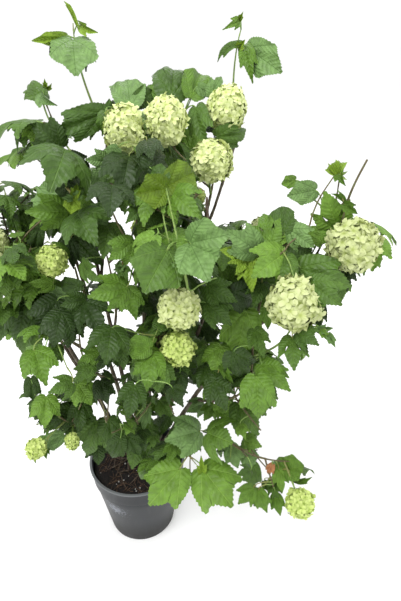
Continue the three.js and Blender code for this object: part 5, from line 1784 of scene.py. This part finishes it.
def soil_pieces(paint, fibre_paint, chalk_paint, twig_paint):
    rng = np.random.default_rng(8)
    number = 1100
    radius = inner_radius(SOIL["top"]) * np.sqrt(rng.uniform(0, 1, number))
    turn = rng.uniform(0, 2 * np.pi, number)
    place = np.stack([radius * np.cos(turn), radius * np.sin(turn)], -1)
    crumbs = (place, rng.uniform(-1.3, 2.0, number), rng.uniform(1.4, 4.2, number))
    edge = inner_radius(SOIL["top"]) - 0.45
    rows, sides = 56, 150
    r = edge * np.linspace(0.012, 1, rows)[:, None]
    a = 2 * np.pi * np.arange(sides) / sides
    x, y = r * np.cos(a), r * np.sin(a)
    z = soil_height(x, y, crumbs)
    top = np.stack([x, y, z], -1)
    low = [(inner_radius(h) - 0.45, h) for h in (SOIL["top"] - 20, POT["shoulder"] - 2, 90, 3.4)]
    skirt = np.array([np.stack([q * np.cos(a), q * np.sin(a), h + 0 * a], -1) for q, h in low])
    grid = np.concatenate([top, skirt]).reshape(-1, 3)
    count = rows + len(skirt)
    points = np.concatenate([grid, [(0, 0, z[0].mean()), (0, 0, 3.4)]])
    i = np.arange(sides)
    n = (i + 1) % sides
    start = (count - 1) * sides
    caps = [np.stack([0 * i + len(grid), i, n], -1)]
    caps += [np.stack([0 * i + len(grid) + 1, start + n, start + i], -1)]
    heap = Heap()
    heap.put(points, [grid_faces(count, sides)[:, ::-1], np.concatenate(caps)])
    soil = heap.piece("compost_crumbs", paint)
    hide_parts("soil")
    scattered(fibre_paint, "compost_fibres", rng, crumbs, 330, (7, 30), (0.35, 0.9), 0.3)
    scattered(twig_paint, "compost_twigs", rng, crumbs, 16, (35, 85), (1.0, 1.9), 1.0)
    specks = Heap()
    for _ in range(46):
        q, b = edge * 0.93 * math.sqrt(rng.uniform()), rng.uniform(0, 2 * math.pi)
        x, y = np.array([q * math.cos(b)]), np.array([q * math.sin(b)])
        size = rng.uniform(0.8, 2.0)
        centre = np.array([x[0], y[0], soil_height(x, y, crumbs)[0] + size * 0.3])
        points, faces = lump(centre, size, 4, 7, 0.16)
        specks.put(points, faces)
    specks.piece("compost_chalk", chalk_paint)


def scattered(paint, name, rng, crumbs, number, lengths, radii, lift):
    """Bent slivers that lie on the compost, inside the pot's wall."""
    edge = inner_radius(SOIL["top"]) - 4
    length = rng.uniform(*lengths, number)
    q = (edge - length / 2) * np.sqrt(rng.uniform(0.02, 1, number))
    b, way = rng.uniform(0, 2 * np.pi, (2, number))
    middle = np.stack([q * np.cos(b), q * np.sin(b)], -1)
    t = np.linspace(-0.5, 0.5, 6)
    along = np.stack([np.cos(way), np.sin(way)], -1)
    aside = np.stack([-along[:, 1], along[:, 0]], -1)
    bend = rng.uniform(-0.3, 0.3, number)
    flat = middle[:, None] + along[:, None] * (t * length[:, None])[..., None]
    flat += aside[:, None] * (bend[:, None] * length[:, None] * (0.25 - t**2))[..., None]
    thick = rng.uniform(*radii, number)
    ground = soil_height(flat[..., 0], flat[..., 1], crumbs)
    level = np.maximum(ground.mean(1, keepdims=True), 0.55 * ground + 0.45 * ground.max(1, keepdims=True))
    tilt = rng.normal(0, 0.05, number)[:, None] * t * length[:, None]
    paths = np.concatenate([flat, (level + lift * thick[:, None] + np.abs(tilt))[..., None]], -1)
    heap = Heap()
    taper = np.array([0.5, 0.9, 1.0, 1.0, 0.85, 0.4])
    heap.put_many(*tubes(paths, thick[:, None] * taper, 5))
    heap.piece(name, paint)


# ---------- paints ----------
def line(distance, half):
    """1 on a line and 0 beside it, by the distance from its middle."""
    return 1 - distance.rise(0.0, half)


def leaf_paint(tint):
    """A blade with three main veins from its stalk and side veins that run forward from each."""
    blade, vein = TINTS[tint]
    paint = Paint("leaf_" + tint, Roughness=0.46, **{"Specular IOR Level": 0.3})
    u, v = paint.chart("OFBake")
    x, y = u * CHART[2] - CHART[0], abs(v * CHART[2] - CHART[1])
    turn = y.math("ARCTAN2", y, x)
    c, s = math.cos(0.68), math.sin(0.68)
    side_along, side_off = x * c + y * s, abs(y * c - x * s)
    lobe = turn.rise(0.33, 0.36)
    along = x * (1 - lobe) + side_along * lobe
    off = y * (1 - lobe) + side_off * lobe
    phase = abs(((along - off * 0.75) * 9.5).share() - 0.5) * 2
    side_veins = line(1 - phase, 0.13)
    main = line(off, 0.016) * along.rise(-0.02, 0.02)
    veins = side_veins * 0.45 * off.rise(0.005, 0.03)
    veins = veins.most(main * 0.8)
    place = paint.joined(u, v, 0.0)
    clouds = paint.noise(place, 160, 3)
    shade = tuple(0.7 * a for a in linear(blade)[:3]) + (1.0,)
    lamina = paint.mix(clouds.rise(0.3, 0.7), shade, linear(blade))
    paint.feed("Base Color", paint.mix(veins * 0.75, lamina, linear(vein)))
    quilt = (1 - phase * phase) * -0.4 + paint.noise(place, 40, 2) * 0.6
    paint.bump(quilt - veins * 0.5, 2.2, 0.85)
    paint.feed("Roughness", clouds * 0.16 + 0.36)
    return paint


def petal_paint(name, rim, face, throat):
    """Petals: deeper in the throat, darker along the gaps between them (their own greener base, and painted
    shade in the creases), paler towards the rim.
    """
    paint = Paint(name, Roughness=0.62)
    u, v = paint.chart("OFBake")
    x, y = (u - 0.5) * 2, (v - 0.5) * 2
    far = (x * x + y * y) ** 0.5
    turn = y.math("ARCTAN2", y, x)
    gap = abs((turn * (PETALS / 2)).math("COSINE", turn * (PETALS / 2)))
    groove = line(gap, 0.34) * (1 - far.rise(0.55, 0.8))
    streaks = paint.noise(paint.joined(turn * 0.05, far * 0.01, 0.0), 12, 2)
    petal = paint.mix(far.rise(0.1, 0.85), linear(face), linear(rim))
    petal = paint.mix(streaks.rise(0.35, 0.75) * 0.35, petal, linear(face))
    # Along the gaps between petals the colour goes towards the throat's: partly the petals' own greener
    # base, partly painted shade in the creases.
    petal = paint.mix((1 - far.rise(0.05, 0.3)).most(groove * 0.7), petal, linear(throat))
    paint.feed("Base Color", petal)
    paint.bump(far.rise(0.0, 0.9) * 0.5 - groove * 0.5 + streaks * 0.2, 1.2, 0.5)
    return paint


def bark_paint(name, dark, pale, lichen, size):
    """Bark: stretched clouds of two browns, pale pores and grey flecks, in shallow relief."""
    paint = Paint(name, Roughness=0.85)
    place = paint.place()
    grain = paint.noise(paint.stretched(place, 1, 1, 0.22), size * 0.5, 4, 0.65)
    patches = paint.noise(place, size * 3, 3, 0.6)
    pores = 1 - paint.cells(paint.stretched(place, 1, 1, 0.6), size * 0.9).rise(0.05, 0.16)
    wood = paint.mix(grain.rise(0.32, 0.68), linear(dark), linear(pale))
    wood = paint.mix(patches.rise(0.5, 0.66) * 0.7, wood, linear(lichen))
    paint.feed("Base Color", paint.mix(pores * 0.55, wood, linear([min(255, 1.25 * c) for c in pale])))
    paint.bump(grain + pores * 0.3, 0.9, 0.7)
    return paint


def shoot_paint(name, low, high, flush):
    """A green shoot: fine lines along it, and a flush of another colour in patches."""
    paint = Paint(name, Roughness=0.55)
    place = paint.place()
    lines = paint.noise(paint.stretched(place, 1, 1, 0.15), 2.0, 2)
    patches = paint.noise(place, 60, 2)
    skin = paint.mix(lines.rise(0.3, 0.7), linear(low), linear(high))
    paint.feed("Base Color", paint.mix(patches.rise(0.5, 0.72) * 0.7, skin, linear(flush)))
    paint.bump(lines, 0.3, 0.4)
    return paint


def pot_paint():
    """Grey moulded plastic with a pale scuff and a worn lip; nearly black inside and darker in blotches
    near the ground, both painted shade.
    """
    paint = Paint("pot_plastic", Roughness=0.5, **{"Specular IOR Level": 0.35})
    place = paint.place()
    x, y, z = paint.parts(place)
    radius = (x * x + y * y) ** 0.5
    height = z * METRE
    slant = (POT["body_top"] - POT["foot"]) / POT["shoulder"]
    outer = height.least(POT["shoulder"]) * slant + POT["foot"]
    inside = (outer - radius * METRE).rise(1.0, 1.3) * height.rise(4, 6)
    clouds = paint.noise(place, 70, 4, 0.6)
    fine = paint.noise(place, 1.3, 2)
    drip = paint.noise(paint.stretched(place, 1, 1, 0.12), 14, 3)
    body = paint.mix(clouds.rise(0.3, 0.7), linear((31, 33, 36)), linear((40, 43, 46)))
    body = paint.mix(drip.rise(0.52, 0.75) * 0.25, body, linear((64, 66, 66)))
    # Darker, browner blotches towards the ground: painted shade.
    low = (1 - height.rise(4, 100)) * (clouds * 0.7 + drip * 0.7)
    body = paint.mix(low.least(0.85), body, linear((27, 26, 21)))
    a = math.radians(-118)
    across = x * -math.sin(a) + y * math.cos(a)
    facing = (x * math.cos(a) + y * math.sin(a)).rise(0.05, 0.08)
    slope = (height - 134) + across * METRE * 0.1
    patch = ((across * (METRE / 25)) ** 2.0 + (slope / 18) ** 2.0) ** 0.5
    ragged = paint.noise(paint.stretched(place, 0.6, 0.6, 1.8), 4, 5, 0.8)
    scuff = (1.6 - patch + (ragged - 0.5) * 8).rise(0.7, 1.3) * facing
    body = paint.mix(scuff * 0.65, body, linear((158, 162, 170)))
    lip = height.rise(209.5, 211.5)
    body = paint.mix(lip * (clouds * 0.4 + 0.5), body, linear((116, 120, 121)))
    # Nearly black inside the pot: painted shade in the recess.
    paint.feed("Base Color", paint.mix(inside, body, linear((24, 24, 26))))
    paint.feed("Roughness", scuff * 0.25 + clouds * 0.14 + low * 0.2 + 0.36)
    paint.bump(fine * 0.5 + scuff * 0.5 + ragged * 0.1, 0.25, 0.35)
    return paint


def earth_paint(name, dark, pale, size):
    paint = Paint(name, Roughness=0.95)
    place = paint.place()
    clouds = paint.noise(place, size, 5, 0.7)
    crumbs = paint.cells(place, size * 0.45)
    paint.feed("Base Color", paint.mix(clouds.rise(0.35, 0.75), linear(dark), linear(pale)))
    paint.bump(clouds + crumbs * -0.5, 1.4, 0.8)
    return paint


# ---------- assembly ----------
set_stage()
limbs, masses, foliage = grow_shrub()
wood = bark_paint("bark_grey_brown", (62, 50, 40), (112, 98, 80), (120, 118, 100), 5)
shoot_wood = bark_paint("bark_young", (74, 62, 44), (116, 108, 74), (110, 118, 72), 3)
green = shoot_paint("shoot_green", (92, 122, 52), (134, 158, 76), (120, 104, 62))
dry_wood = bark_paint("bark_dry", (58, 46, 38), (98, 82, 66), (120, 110, 96), 2.5)
stalk_green = shoot_paint("stalk_green", (96, 134, 56), (140, 170, 84), (150, 124, 76))
limb_pieces(limbs, wood)
for made in shoot_pieces(masses, set_twigs(limbs, masses), shoot_wood, green, dry_wood):
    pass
leaf_pieces(foliage, {tint: leaf_paint(tint) for tint in TINTS}, stalk_green, list(MASSES))
blossom_pieces(
    masses,
    # The first two petal colours are one cream in two copies: the darker one is painted shade for the heads
    # on the right, the paler one painted light for the rest.
    petal_paint("petal_painted_shade", (196, 204, 148), (182, 193, 125), (162, 177, 93)),
    petal_paint("petal_painted_light", (217, 226, 163), (203, 215, 138), (180, 196, 102)),
    petal_paint("petal_lime", (196, 212, 124), (180, 200, 100), (140, 166, 60)),
    petal_paint("blossom_heart", (188, 202, 120), (180, 194, 108), (160, 178, 84)),
)
pot_piece(pot_paint())
soil_pieces(
    earth_paint("compost", (14, 11, 10), (38, 30, 26), 6),
    earth_paint("fibre", (54, 40, 31), (124, 98, 76), 5),
    earth_paint("chalk", (200, 198, 192), (236, 236, 232), 2),
    dry_wood,
)
